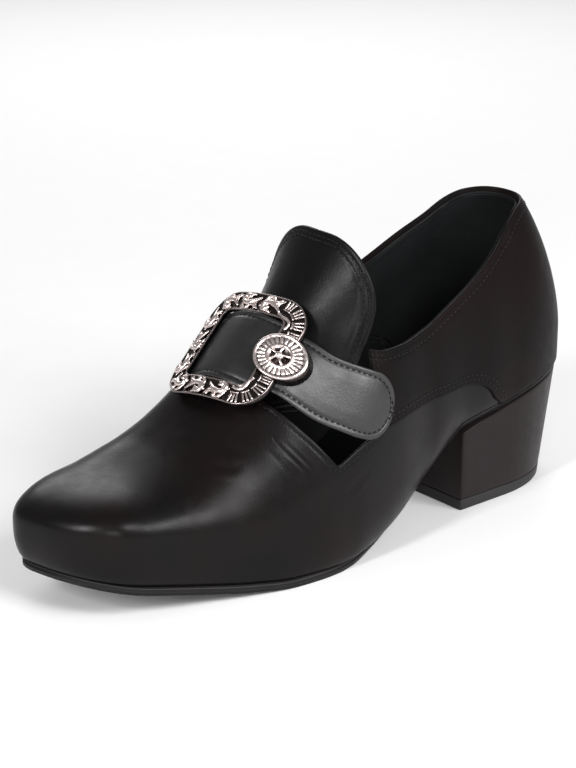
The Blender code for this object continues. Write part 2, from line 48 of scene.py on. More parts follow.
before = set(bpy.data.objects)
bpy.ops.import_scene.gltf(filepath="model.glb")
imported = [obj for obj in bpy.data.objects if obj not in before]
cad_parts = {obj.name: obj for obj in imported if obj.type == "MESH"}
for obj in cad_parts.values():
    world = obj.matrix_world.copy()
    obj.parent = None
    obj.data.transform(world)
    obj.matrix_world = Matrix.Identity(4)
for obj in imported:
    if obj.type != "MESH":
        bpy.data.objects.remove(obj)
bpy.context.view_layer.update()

MM = 0.001

# The shoe's plan: length, ends of the straight part of its axis, roundness of heel and toe, lead of the
# toe's inner corner, half width of the ends, and the gap between fitted pieces
LENGTH = 277.0
HEEL_AXIS = 45.0
TOE_AXIS = 245.0
HEEL_ROUND = 2.15
TOE_SQUARE = 3.0
TOE_SKEW = 0.16
END_WIDTH = 33.0
FIT_GAP = 0.3

# Outsole: station, height of the underside, thickness, how far the edge stands out past the feather line
SOLE = (
    (0, 51.6, 2.6, 0.4),
    (20, 50.0, 2.6, 0.3),
    (35, 47.6, 2.6, 0.2),
    (55, 43.0, 2.6, 0.1),
    (77, 37.8, 2.6, 0.0),
    (84, 33.4, 2.6, -0.5),
    (95, 25.0, 2.7, -1.9),
    (112, 13.8, 2.9, -2.1),
    (125, 7.4, 3.1, -1.6),
    (140, 2.8, 3.3, -1.0),
    (155, 0.5, 3.4, 0.2),
    (162, 0.0, 3.4, 0.8),
    (184, 0.0, 3.4, 1.6),
    (204, 2.0, 3.4, 1.9),
    (225, 5.6, 3.4, 2.0),
    (250, 10.6, 3.4, 2.0),
    (277, 16.0, 3.4, 1.0),
)

# The last: station, outer and inner feather line, ridge's place across, swell of the wall past the
# feather line, height of the widest point above it, height of the ridge, squareness of the section
LAST = (
    (0, 33.0, 33.0, 0.0, 0.0, 15.0, 151.0, 1.6),
    (45, 33.0, 32.5, 0.0, 1.5, 19.0, 151.0, 1.7),
    (62, 32.5, 31.5, 0.0, 3.5, 20.0, 152.0, 1.85),
    (80, 31.5, 30.0, 0.0, 5.0, 21.0, 154.0, 1.95),
    (100, 32.5, 29.5, -0.5, 7.0, 21.0, 153.0, 2.0),
    (122, 38.0, 31.5, -1.5, 7.0, 21.0, 148.0, 2.05),
    (140, 43.0, 35.0, -2.5, 5.5, 21.0, 133.0, 2.1),
    (155, 46.5, 38.0, -4.0, 3.5, 20.0, 114.0, 2.1),
    (167, 47.0, 40.0, -5.5, 3.0, 19.0, 100.5, 2.1),
    (180, 46.0, 41.5, -7.0, 2.5, 18.0, 87.8, 2.1),
    (190, 44.5, 42.0, -8.5, 2.0, 17.0, 78.8, 2.1),
    (201, 42.0, 42.0, -10.0, 2.0, 16.0, 69.4, 2.15),
    (212, 39.5, 41.5, -10.0, 2.2, 16.0, 62.2, 2.25),
    (224, 36.5, 40.0, -9.5, 2.5, 15.0, 56.6, 2.5),
    (245, 31.5, 34.5, -7.0, 3.2, 15.0, 51.0, 3.1),
    (262, 27.5, 29.0, -4.0, 3.8, 15.0, 49.5, 3.6),
    (277, 23.0, 24.0, -1.0, 4.0, 15.0, 47.5, 3.8),
)

# Edges seen from the side: station, height. The seam meets the throat in the notch on both sides, and the
# inner notch, which no picture shows, is shallower
TOPLINE = (
    (-20, 128.0),
    (10, 130.0),
    (22, 131.0),
    (32, 129.8),
    (40, 126.5),
    (50, 119.5),
    (62, 112.5),
    (76, 105.0),
    (92, 98.0),
    (107, 92.6),
    (119, 91.0),
    (131, 91.2),
    (139, 93.0),
)
SEAM = (
    (50, 30.0),
    (54, 44.0),
    (60, 49.5),
    (65, 55.5),
    (71, 59.2),
    (80, 61.2),
    (98, 61.0),
    (116, 60.2),
    (131, 58.8),
    (145, 56.5),
    (163, 49.0),
)
NOTCH = 163.0
INNER_NOTCH = 55.5
INNER_NOTCH_END = 170.0
THROAT = ((NOTCH, 49.0), (183, 77.0), (193, 92.0))

# Quarters: stations of the front edge above and at the seam, run over which its lean fades, the seam's
# back end, where its columns grow close, and the foremost station of the throat
QUARTER_TOP_FRONT = 139.0
QUARTER_LOW_FRONT = 142.0
QUARTER_LEAN = 60.0
SEAM_START = 56.4
SEAM_FINE = 64.0
THROAT_RIDGE = 186.6

# Where the vamp runs on under the quarter: station, run over which it gets there, and how far
TUCK_START = 141.5
TUCK_RUN = 5.0
TUCK = 3.5

# A height that the wall never reaches
NO_EDGE = 1e3

# Tongue: station and height of its middle line on the outer face, place across, half width, fall of its
# sides behind the middle
TONGUE = (
    (180.0, 85.0, -2.5, 38.0, 24.0),
    (170.0, 92.6, -0.5, 37.5, 25.0),
    (160.0, 102.5, 1.0, 36.5, 24.0),
    (150.0, 115.0, 2.5, 35.5, 19.0),
    (142.0, 127.5, 3.5, 35.0, 14.0),
    (137.0, 136.5, 4.0, 34.5, 11.0),
)

# Tongue's foot under the vamp: station, depth under the ridge, share of the ridge's place across, half
# width, fall of its sides
TONGUE_FOOT = 204.0
FOOT_SINK = 3.0
FOOT_ACROSS = 0.6
FOOT_HALF = 28.0
FOOT_FALL = 9.5

# Where the tongue leaves the last, its gaps to the vamp and above the topline, its round corners, how far
# the stitches go down from its top, and where the quarters begin to hold it in
TONGUE_FREE = (180.0, 160.0)
TONGUE_GAP = 0.7
TONGUE_CORNER = 27.0
TONGUE_RISE = 4.0
TONGUE_STITCHED = 60.0
QUARTER_FRONT = 144.0

# Strap: place across, station and height of its middle line
STRAP_INNER = ((-42.0, 143.0, 60.0), (-41.0, 154.0, 62.0), (-38.5, 166.0, 67.0), (-32.0, 176.0, 76.0))
STRAP_OUTER = ((37.0, 162.0, 80.0), (39.5, 153.5, 74.6), (40.5, 145.5, 70.4))
STRAP_END = (41.0, 133.8, 65.4)

# Half width, gap under it, rise in the buckle's window, drop under the band, extra half width in the
# window and where it tapers off, padding, and the turns that the rows of its round end stand at
STRAP_HALF = 14.3
STRAP_LIFT = 0.7
STRAP_BULGE = 3.4
STRAP_UNDER = 0.5
STRAP_SPREAD = 3.05
STRAP_TAPER = (19.0, 22.0)
STRAP_PAD = 0.35
END_TURNS = (0.16, 0.32, 0.48, 0.62, 0.74, 0.84, 0.92, 0.97)

# Buckle: middle, slope of the instep under it, turn in its own plane, radius of its bend, thickness, half
# widths of the frame and its window, and their corners
BUCKLE_MIDDLE = (0.5, 181.0, 94.2)
BUCKLE_SLOPE = 38.0
BUCKLE_TURN = 9.0
BUCKLE_BEND = 68.0
BUCKLE_THICK = 3.2
BUCKLE_HALF = 27.2
BUCKLE_WINDOW = 17.4
BUCKLE_CORNER = 13.0
WINDOW_CORNER = 3.5

# Heel: station of its breast, then its foot and its seat, each with half width and roundness
HEEL_BREAST = 78.0
HEEL_FOOT_BACK = 9.5
HEEL_FOOT_HALF = 33.0
HEEL_TOP_HALF = 33.8
HEEL_FOOT_ROUND = 42.0
HEEL_TOP_ROUND = 46.0
TOP_PIECE = 5.0
HEEL_CENTRE = (HEEL_BREAST + HEEL_FOOT_BACK) / 2

# A point inside the shoe, that surfaces face away from
SHOE_CENTRE = np.array((0.0, HEEL_CENTRE - 140.0, 30.0))

# Reach of a crease from its line, distance that counts as a double, roll of the strap's and tongue's edges
CREASE_REACH = 6.0
MERGE = 0.004
BAND_ROLL = 0.8


def monotone(places, values):
    """Monotone cubic through points, so that a flat run stays flat and nothing overshoots."""
    x, y = np.array(places, float), np.array(values, float)
    h = np.diff(x)
    slope = np.diff(y) / h
    m = np.zeros(len(x))
    m[0], m[-1] = slope[0], slope[-1]
    for i in range(1, len(x) - 1):
        if slope[i - 1] * slope[i] > 0:
            w1, w2 = 2 * h[i] + h[i - 1], h[i] + 2 * h[i - 1]
            m[i] = (w1 + w2) / (w1 / slope[i - 1] + w2 / slope[i])

    def value(at):
        at = np.clip(at, x[0], x[-1])
        i = np.clip(np.searchsorted(x, at) - 1, 0, len(h) - 1)
        t = (at - x[i]) / h[i]
        rise = m[i] * t * (1 - t) ** 2 + m[i + 1] * t * t * (t - 1)
        return y[i] * (1 + 2 * t) * (1 - t) ** 2 + y[i + 1] * t * t * (3 - 2 * t) + h[i] * rise

    return value


def table_curves(table, *names):
    """One smooth curve for each named column of a table, over its first column."""
    columns = list(zip(*table))
    return {name: monotone(columns[0], values) for name, values in zip(names, columns[1:])}


sole = table_curves(SOLE, "under", "thick", "margin")
last = table_curves(LAST, "outer", "inner", "ridge_x", "swell", "rise", "ridge", "power")
topline = monotone(*zip(*TOPLINE))
seam = monotone(*zip(*SEAM))
throat = monotone(*zip(*THROAT))


def way_along(points):
    """Distance of each point of a run from the first one, along the run."""
    return np.concatenate([[0], np.cumsum(np.linalg.norm(np.diff(points, axis=0), axis=1))])


def unit(vectors):
    """The vectors along an array's last axis, made one long."""
    return vectors / np.maximum(np.linalg.norm(vectors, axis=-1, keepdims=True), 1e-9)


def place(x, station, z):
    """Shoe sizes to a point in millimetres. The toe's end is sheared, so that its inner corner leads."""
    end = np.clip((station - TOE_AXIS) / (LENGTH - TOE_AXIS), 0, None)
    return np.stack(np.broadcast_arrays(x, HEEL_CENTRE - station + TOE_SKEW * x * end * end, z), axis=-1)


def fan_angles(count, width, depth, squareness):
    """Angles round a square-ish end that give about equal steps along its outline."""
    angle = np.linspace(0, 0.5 * math.pi, 400)
    across = width * np.cos(angle).clip(0) ** (2 / squareness)
    along = depth * np.sin(angle) ** (2 / squareness)
    way = way_along(np.column_stack([across, along]))
    return np.interp(np.linspace(0, way[-1], count), way, angle)


def plan_columns(stops, toe=0, heel=0):
    """Columns of the last from toe to heel: axis, station and share of the width, as three arrays.
    stops lists stations and how many columns lead to each from the one before."""
    axis, station, share = [], [], []
    if toe:
        for angle in fan_angles(toe + 1, END_WIDTH, LENGTH - TOE_AXIS, TOE_SQUARE)[::-1][:-1]:
            axis.append(TOE_AXIS)
            station.append(TOE_AXIS + (LENGTH - TOE_AXIS) * math.sin(angle) ** (2 / TOE_SQUARE))
            share.append(max(math.cos(angle), 0.0) ** (2 / TOE_SQUARE))
    run = [stops[0][0]]
    for stop, count in stops[1:]:
        run.extend(np.linspace(run[-1], stop, count + 1)[1:])
    for at in run:
        axis.append(at)
        station.append(at)
        share.append(1.0)
    if heel:
        for angle in fan_angles(heel + 1, END_WIDTH, HEEL_AXIS, HEEL_ROUND)[1:]:
            axis.append(HEEL_AXIS)
            station.append(HEEL_AXIS * (1 - math.sin(angle) ** (2 / HEEL_ROUND)))
            share.append(max(math.cos(angle), 0.0) ** (2 / HEEL_ROUND))
    share = np.array(share)
    share[share < 1e-5] = 0.0
    return np.array(axis), np.array(station), share


def spoke(columns, side):
    axis, station, share = columns
    centre = last["ridge_x"](axis)
    edge = np.where(side > 0, last["outer"](station), -last["inner"](station))
    out = (edge - centre) * share
    reach = np.hypot(out, station - axis)
    return centre, axis, out / reach, (station - axis) / reach, reach


def rim(columns, side, margin):
    """Points of the feather line in plan, moved outwards by a margin: across and station."""
    centre, axis, across, along, reach = spoke(columns, side)
    return centre + across * (reach + margin), axis + along * (reach + margin)


def last_surface(columns, side, turn, offset=0.0):
    """Across, station and height on the last, moved outwards. turn runs from -1 at the feather line
    through 0 at the widest point to 1 on the ridge."""
    centre, axis, across, along, reach = spoke(columns, side)
    swell, rise, power = (last[name](columns[1]) for name in ("swell", "rise", "power"))
    foot_station = axis + along * (reach + offset)
    foot = sole["under"](foot_station) + sole["thick"](foot_station) + FIT_GAP
    low = turn <= 0
    angle = np.where(low, 0.5 * math.pi * (1 + turn), 0.5 * math.pi * turn)
    sine, cosine = np.sin(angle).clip(0), np.cos(angle).clip(0)
    radius = np.where(
        low, reach + offset + swell * sine, (reach + offset + swell) * cosine ** (2 / power)
    )
    here = axis + along * radius
    slope = (last["ridge"](here + 1) - last["ridge"](here - 1)) / 2
    top = last["ridge"](here) + offset * np.hypot(1, slope)
    height = np.where(
        low, foot + rise * (1 - cosine), foot + rise + (top - foot - rise) * sine ** (2 / power)
    )
    return centre + across * radius, here, height


def wall_grid(columns, side, low_line, high_line, low_steps, high_steps, middle, offset=0.0):
    """Points over the last between two edges. The lines give an edge's height at a station, or None for
    the feather line or the ridge. The steps are distances from each edge where a row runs."""
    fine = np.linspace(-1, 1, 161)
    grid = [c[None, :] for c in columns]
    x, s, z = last_surface(grid, side, fine[:, None], offset)
    spots = place(x, s, z)
    steps = np.linalg.norm(np.diff(spots, axis=0), axis=2)
    way = np.concatenate([np.zeros((1, x.shape[1])), steps]).cumsum(0)
    turns = []
    for k in range(x.shape[1]):
        ends = [0.0, way[-1, k]]
        for end, line in ((0, low_line), (1, high_line)):
            if line is None:
                continue
            above = z[:, k] - line(s[:, k])
            over = np.nonzero(above > 0)[0]
            if len(over) and over[0] > 0:
                i = over[0]
                ends[end] = np.interp(0, above[i - 1 : i + 1], way[i - 1 : i + 1, k])
            elif len(over):
                ends[end] = 0.0
        total = max(ends[1] - ends[0], 0.01)
        fit = min(1.0, 0.9 * total / (low_steps[-1] + high_steps[-1]))
        low, high = np.array(low_steps) * fit, total - np.array(high_steps[::-1]) * fit
        rows = np.concatenate([low, np.linspace(low[-1], high[0], middle + 2)[1:-1], high])
        turns.append(np.interp(ends[0] + rows, way[:, k], fine))
    turns = np.array(turns).T
    return place(*last_surface(grid, side, turns, offset))


def blur_rows(points, amount, width=4):
    """Averages a grid's rows with their neighbours, each row as much as its amount says."""
    kernel = np.exp(-(np.arange(-2 * width, 2 * width + 1) ** 2) / (2.0 * width * width))
    kernel /= kernel.sum()
    padded = np.concatenate([points[:1]] * 2 * width + [points] + [points[-1:]] * 2 * width)
    soft = sum(k * padded[i : i + len(points)] for i, k in enumerate(kernel))
    return points + (soft - points) * amount[:, None, None]


def surface_normals(points, blur=0):
    """Unit normals of a grid of points, facing away from the middle of the shoe."""
    along, across = np.gradient(points, axis=1), np.gradient(points, axis=0)
    normals = np.cross(along, across)
    if blur:
        normals = blur_rows(normals, np.ones(len(normals)), blur)
        normals = blur_rows(normals.swapaxes(0, 1), np.ones(normals.shape[1]), 2).swapaxes(0, 1)
    normals = unit(normals)
    if ((points - SHOE_CENTRE) * normals).sum() < 0:
        normals = -normals
    return normals


def distance_to(points, line):
    """Distance of each point of a grid from a run of points."""
    flat = points.reshape(-1, 3)
    best = np.full(len(flat), np.inf)
    for a, b in zip(line[:-1], line[1:]):
        way = b - a
        length = way @ way
        if length < 1e-12:
            continue
        t = np.clip((flat - a) @ way / length, 0, 1)
        best = np.minimum(best, ((flat - a - t[:, None] * way) ** 2).sum(axis=1))
    return np.sqrt(best).reshape(points.shape[:2])


def rolled(distance, radius):
    """Drop of a surface towards its turned edge, as a quarter circle."""
    inside = np.clip(radius - distance, 0, radius)
    return -(radius - np.sqrt(np.clip(radius**2 - inside**2, 0, None)))


def trough(distance, depth, width):
    return -depth * np.exp(-((distance / width) ** 2))


def crease(points, normals, start, end, depth, width):
    """A soft trough with raised lips along a line between two points, fading out at its ends."""
    a, b = np.array(start, float), np.array(end, float)
    way = b - a
    t = np.clip(((points - a) @ way) / (way @ way), 0, 1)
    off = points - a - t[..., None] * way
    far = np.linalg.norm(off, axis=-1) > CREASE_REACH
    off = off - (off * normals).sum(axis=-1, keepdims=True) * normals
    near = np.linalg.norm(off, axis=-1)
    lips = np.exp(-(((near - 1.9 * width) / width) ** 2)) * 0.45
    shape = depth * np.sin(t * math.pi) ** 0.7 * (lips - np.exp(-((near / width) ** 2)))
    return np.where(far, 0.0, shape)


def new_piece(name, bm, surfaces, replaces=()):
    """Makes a finished object of a bmesh, with its materials and body."""
    mesh = bpy.data.meshes.new(name)
    bm.to_mesh(mesh)
    bm.free()
    piece = bpy.data.objects.new(name, mesh)
    bpy.context.scene.collection.objects.link(piece)
    for surface in surfaces:
        mesh.materials.append(surface)
    mesh.shade_smooth()
    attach(piece, "root")
    if replaces:
        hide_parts(*replaces)
    return piece


def grid_bmesh(points, scale=MM):
    """A bmesh grid whose vertices are moved to an array of places."""
    rows, count = points.shape[:2]
    bm = bmesh.new()
    bmesh.ops.create_grid(bm, x_segments=count - 1, y_segments=rows - 1, size=0.5)
    bm.verts.ensure_lookup_table()
    for vert, spot in zip(bm.verts, points.reshape(-1, 3)):
        vert.co = Vector(spot) * scale
    return bm


def close_up(bm, scale=MM):
    """Closes seams and poles: merges doubles and takes out the faces without area that they leave."""
    bmesh.ops.remove_doubles(bm, verts=bm.verts, dist=MERGE * scale)
    bmesh.ops.dissolve_degenerate(bm, edges=bm.edges, dist=MERGE / 4 * scale)


def sheet_piece(name, points, thickness, surfaces, replaces=(), merge=False):
    """A piece of leather: a grid of its outer face, given a thickness inwards. The first surface is for
    the outside and the cut edge, the second for the inside."""
    facing = np.cross(np.gradient(points, axis=1), np.gradient(points, axis=0))
    if ((points - SHOE_CENTRE) * facing).sum() < 0:
        points = points[::-1]
    bm = grid_bmesh(points)
    if merge:
        close_up(bm)
    piece = new_piece(name, bm, surfaces, replaces)
    wall = piece.modifiers.new("Thickness", "SOLIDIFY")
    wall.thickness = thickness * MM
    wall.offset = -1
    wall.material_offset = 1
    return piece


def even_steps(line, step):
    """Points at equal steps along a run of points, clear of its ends by half a step."""
    way = way_along(line)
    count = max(int(way[-1] / step), 2)
    at = (np.arange(count) + 0.5) * way[-1] / count
    return np.stack([np.interp(at, way, line[:, k]) for k in range(3)], axis=1)


ALONG_X = Matrix.Rotation(0.5 * math.pi, 4, "Y")


def stitch_rows(name, base, runs, surface, sizes):
    """Threads laid on a piece. Each run is an edge, a line inside it, and the inset from the edge."""
    source = bmesh.new()
    source.from_mesh(base.data)
    tree = BVHTree.FromBMesh(source)
    source.free()
    bm = bmesh.new()
    length, radius = sizes.stitch_length / MM / 2, sizes.thread / MM / 2
    for edge, inner, inset in runs:
        tangent = unit(np.gradient(edge, axis=0))
        inward = inner - edge
        inward = unit(inward - (inward * tangent).sum(axis=1, keepdims=True) * tangent)
        spots = even_steps(edge + inward * inset, sizes.stitch_step / MM)
        ways = np.gradient(spots, axis=0)
        for spot, way in zip(spots, ways):
            near, normal, _, _ = tree.find_nearest(Vector(spot) * MM)
            if near is None:
                continue
            x_axis = Vector(way).normalized()
            x_axis = (x_axis - normal * x_axis.dot(normal)).normalized()
            y_axis = normal.cross(x_axis)
            turn = Matrix((x_axis * length, y_axis * radius, normal * radius)).transposed().to_4x4()
            turn = Matrix.Scale(MM, 4) @ turn
            turn.translation = near + normal * radius * 0.1 * MM
            turn = turn @ ALONG_X
            bmesh.ops.create_uvsphere(bm, u_segments=6, v_segments=5, radius=1.0, matrix=turn)
    return new_piece(name, bm, [surface])


class ShoeSizes(bpy.types.PropertyGroup):
    """Sizes of the leather, thread and relief."""

    vamp_wall: FloatProperty(
        name="Vamp wall", description="Leather and lining", default=2.2 * MM, unit="LENGTH"
    )
    quarter_step: FloatProperty(
        name="Quarter step",
        description="How far the quarters stand over the vamp",
        default=1.2 * MM,
        unit="LENGTH",
    )
    edge_roll: FloatProperty(
        name="Edge roll", description="Radius of a turned or cut edge", default=0.9 * MM, unit="LENGTH"
    )
    stitch_length: FloatProperty(
        name="Stitch length", description="Thread that shows", default=1.9 * MM, unit="LENGTH"
    )
    stitch_step: FloatProperty(
        name="Stitch step", description="From hole to hole", default=2.7 * MM, unit="LENGTH"
    )
    thread: FloatProperty(
        name="Thread", description="Thickness of the thread", default=0.8 * MM, unit="LENGTH"
    )
    stitch_inset: FloatProperty(
        name="Stitch inset",
        description="First row of stitches from the edge",
        default=2.6 * MM,
        unit="LENGTH",
    )
    row_gap: FloatProperty(
        name="Row gap",
        description="Second row of stitches from the first",
        default=2.2 * MM,
        unit="LENGTH",
    )
    strap_thick: FloatProperty(
        name="Strap", description="Thickness of the strap", default=2.0 * MM, unit="LENGTH"
    )
    tongue_thick: FloatProperty(
        name="Tongue", description="Thickness of the tongue", default=2.2 * MM, unit="LENGTH"
    )
    flutes: IntProperty(name="Flutes", description="Petals round the buckle's rosette", default=26)


class ShoeColours(bpy.types.PropertyGroup):
    """Colours of the finishes."""

    leather: FloatVectorProperty(
        name="Leather", description="Main leather", default=(0.0028, 0.0029, 0.0031), subtype="COLOR"
    )
    leather_warm: FloatVectorProperty(
        name="Leather tint",
        description="Warm tint in the leather",
        default=(0.0065, 0.0036, 0.0036),
        subtype="COLOR",
    )
    lining: FloatVectorProperty(
        name="Lining", description="Lining", default=(0.006, 0.0065, 0.007), subtype="COLOR"
    )
    thread: FloatVectorProperty(
        name="Thread", description="Thread", default=(0.003, 0.003, 0.0035), subtype="COLOR"
    )
    sole: FloatVectorProperty(
        name="Sole", description="Sole and top piece", default=(0.018, 0.017, 0.017), subtype="COLOR"
    )
    heel: FloatVectorProperty(
        name="Heel", description="Covered heel", default=(0.010, 0.007, 0.0073), subtype="COLOR"
    )
    silver: FloatVectorProperty(
        name="Silver", description="Bright relief", default=(0.80, 0.70, 0.67), subtype="COLOR"
    )
    patina: FloatVectorProperty(
        name="Patina", description="Recesses", default=(0.05, 0.04, 0.04), subtype="COLOR"
    )
    floor: FloatVectorProperty(
        name="Floor", description="Floor", default=(0.9, 0.9, 0.9), subtype="COLOR"
    )


class Finish:
    """A node tree being built, with short calls for what the finishes share."""

    def __init__(self, name):
        self.material = bpy.data.materials.new(name)
        self.material.use_nodes = True
        self.nodes = self.material.node_tree.nodes
        self.links = self.material.node_tree.links
        self.shader = self.nodes["Principled BSDF"]
        self.where = self.nodes.new("ShaderNodeTexCoord").outputs["Object"]

    def set(self, **values):
        for socket, value in values.items():
            self.shader.inputs[socket.replace("_", " ").title().replace("Ior", "IOR")].default_value = value
        return self

    def noise(self, scale, detail=2.0, roughness=0.5):
        node = self.nodes.new("ShaderNodeTexNoise")
        node.inputs["Scale"].default_value = scale
        node.inputs["Detail"].default_value = detail
        node.inputs["Roughness"].default_value = roughness
        self.links.new(self.where, node.inputs["Vector"])
        return node.outputs["Fac"]

    def cells(self, scale, feature="F1"):
        node = self.nodes.new("ShaderNodeTexVoronoi")
        node.feature = feature
        node.inputs["Scale"].default_value = scale
        self.links.new(self.where, node.inputs["Vector"])
        return node.outputs["Distance"]

    def remap(self, value, low, high, to_low=0.0, to_high=1.0):
        node = self.nodes.new("ShaderNodeMapRange")
        ends = {"From Min": low, "From Max": high, "To Min": to_low, "To Max": to_high}
        for socket, number in ends.items():
            node.inputs[socket].default_value = number
        self.links.new(value, node.inputs["Value"])
        return node.outputs["Result"]

    def blend(self, share, first, second):
        node = self.nodes.new("ShaderNodeMix")
        node.data_type = "RGBA"
        self.links.new(share, node.inputs["Factor"])
        first_colour, second_colour, mixed = node.inputs[6], node.inputs[7], node.outputs[2]
        first_colour.default_value = (*first, 1.0)
        second_colour.default_value = (*second, 1.0)
        return mixed

    def bump(self, height, strength, depth, before=None):
        node = self.nodes.new("ShaderNodeBump")
        node.inputs["Strength"].default_value = strength
        node.inputs["Distance"].default_value = depth * MM
        self.links.new(height, node.inputs["Height"])
        if before is not None:
            self.links.new(before, node.inputs["Normal"])
        self.links.new(node.outputs["Normal"], self.shader.inputs["Normal"])
        return node.outputs["Normal"]

    def wire(self, output, socket):
        self.links.new(output, self.shader.inputs[socket])
        return self


def leather(name, colour, tint, rough=0.32, grain=0.35, coat=0.05, spread=(0.35, 0.75), specular=0.12):
    """Smooth dyed leather: faint mottled tint, fine pores and a soft polish."""
    made = Finish(name)
    mottle = made.remap(made.noise(22, 3), spread[0], spread[1])
    made.wire(made.blend(mottle, colour, tint), "Base Color")
    made.wire(made.remap(made.noise(160, 4, 0.6), 0.3, 0.7, rough - 0.05, rough + 0.07), "Roughness")
    first = made.bump(made.noise(75, 3, 0.6), 0.12, 0.5)
    second = made.bump(made.cells(1100), grain, 0.06, first)
    made.bump(made.noise(2600, 3, 0.7), grain, 0.03, second)
    made.set(coat_weight=coat, coat_roughness=0.25, specular_ior_level=specular)
    return made.material


def plain_finish(name, colour, rough, grain_scale, grain, specular=0.22, mottle=1.5):
    """A dull surface of one colour, with a faint mottle and a grain."""
    made = Finish(name)
    share = made.remap(made.noise(40, 3), 0.3, 0.7)
    made.wire(made.blend(share, colour, [c * mottle for c in colour]), "Base Color")
    made.wire(made.remap(made.noise(220, 3), 0.3, 0.7, rough - 0.05, rough + 0.06), "Roughness")
    made.bump(made.noise(grain_scale, 4, 0.65), grain, 0.1)
    made.set(specular_ior_level=specular)
    return made.material


def old_silver(name, silver, patina):
    """Cast metal, bright on the relief and black in the recesses: the relief's height is an attribute."""
    made = Finish(name)
    height = made.nodes.new("ShaderNodeAttribute")
    height.attribute_name = "relief"
    share = made.remap(height.outputs["Fac"], 0.25, 0.75)
    made.wire(made.blend(share, patina, silver), "Base Color")
    made.wire(made.remap(made.noise(700, 3), 0.3, 0.7, 0.2, 0.36), "Roughness")
    made.bump(made.noise(900, 3, 0.6), 0.15, 0.08)
    made.set(metallic=1.0)
    return made.material


def surface_named(name):
    """One of the shoe's materials, made the first time it is asked for."""
    found = bpy.data.materials.get(name)
    if found:
        return found
    tones = bpy.context.scene.shoe_colours
    plain, warm = tones.leather, tones.leather_warm
    made = {
        "vamp_leather": lambda: leather(name, plain, warm),
        "quarter_leather": lambda: leather(
            name, plain, warm, 0.42, coat=0.02, spread=(0.25, 0.6), specular=0.06
        ),
        "tongue_leather": lambda: leather(name, plain, plain, 0.35, 0.6, 0.05, specular=0.12),
        "strap_leather": lambda: leather(name, plain, plain, 0.42, 0.6, 0.1, specular=0.65),
        "lining": lambda: plain_finish(name, tones.lining, 0.7, 900, 0.3, 0.25),
        "thread": lambda: plain_finish(name, tones.thread, 0.5, 3000, 0.4),
        "sole_edge": lambda: plain_finish(name, tones.sole, 0.5, 500, 0.25),
        "heel_cover": lambda: plain_finish(name, tones.heel, 0.42, 700, 0.25, 0.16),
        "silver": lambda: old_silver(name, tones.silver, tones.patina),
        "bar_metal": lambda: plain_finish(name, tones.patina, 0.4, 900, 0.2, 0.5),
    }[name]
    return made()


# Distances of rows from a stitched edge and from the feather line
EDGE_STEPS = (0.0, 0.15, 0.35, 0.6, 0.9, 1.4, 2.0, 2.5, 3.0, 3.6, 4.4, 5.2, 6.0, 7.0)
FOOT_STEPS = (0.0, 0.4, 0.9, 1.6, 2.6)

# Creases of the vamp: start, end, depth, width
VAMP_CREASES = (
    ((34.0, -143.0, 62.0), (44.5, -135.0, 50.0), 0.10, 0.8),
    ((36.5, -139.5, 62.0), (45.5, -132.0, 50.5), 0.07, 0.8),
    ((32.0, -147.5, 61.0), (42.5, -141.0, 50.0), 0.08, 0.8),
    ((24.0, -168.0, 56.0), (31.0, -159.0, 53.0), 0.30, 1.8),
    ((20.0, -160.0, 60.0), (30.0, -153.0, 57.0), 0.22, 1.6),
    ((-2.0, -166.0, 64.0), (12.0, -160.0, 65.0), 0.25, 2.2),
    ((47.0, -118.0, 36.0), (44.0, -104.0, 42.0), 0.25, 1.8),
)
BINDING_GROOVE = 1.5

# Grooves that the stitches lie in: depth, width
GROOVES = {
    "vamp": (0.16, 0.5),
    "binding": (0.22, 0.35),
    "topline": (0.15, 0.5),
    "seam": (0.18, 0.5),
    "tongue": (0.3, 0.5),
    "strap": (0.32, 0.55),
}

# Rows or columns of a piece's grid that lie inside its edge, for the stitches' way inwards
INNER_ROW = 9
INNER_COLUMN = 12

# Columns of the vamp: station, and how many lead to it from the one before
VAMP_COLUMNS = (
    (TOE_AXIS, 0),
    (THROAT_RIDGE + 3, 40),
    (THROAT_RIDGE, 6),
    (180, 14),
    (NOTCH, 14),
    (QUARTER_LOW_FRONT, 14),
    (SEAM_FINE, 44),
    (SEAM_START, 8),
)


def tongue_creases():
    """Fine slanting creases up the outer side of the tongue, every other one a little deeper."""
    for i in range(8):
        start = (21.0 + 0.5 * i, -104.5 + 1.6 * i, 99.0 + 2.6 * i)
        end = (31.0 + 0.3 * i, -97.5 + 1.6 * i, 103.5 + 2.6 * i)
        yield start, end, 0.16 + 0.05 * (i % 2), 0.75


def row_places(half, middle):
    """Places across a band from edge to edge, close together near its edges."""
    steps = np.array(EDGE_STEPS) * min(1.0, 0.9 * half / EDGE_STEPS[-1])
    inner = np.linspace(-1, 1, middle + 2)[1:-1] * (half - steps[-1])
    return np.concatenate([steps - half, inner, (half - steps)[::-1]])


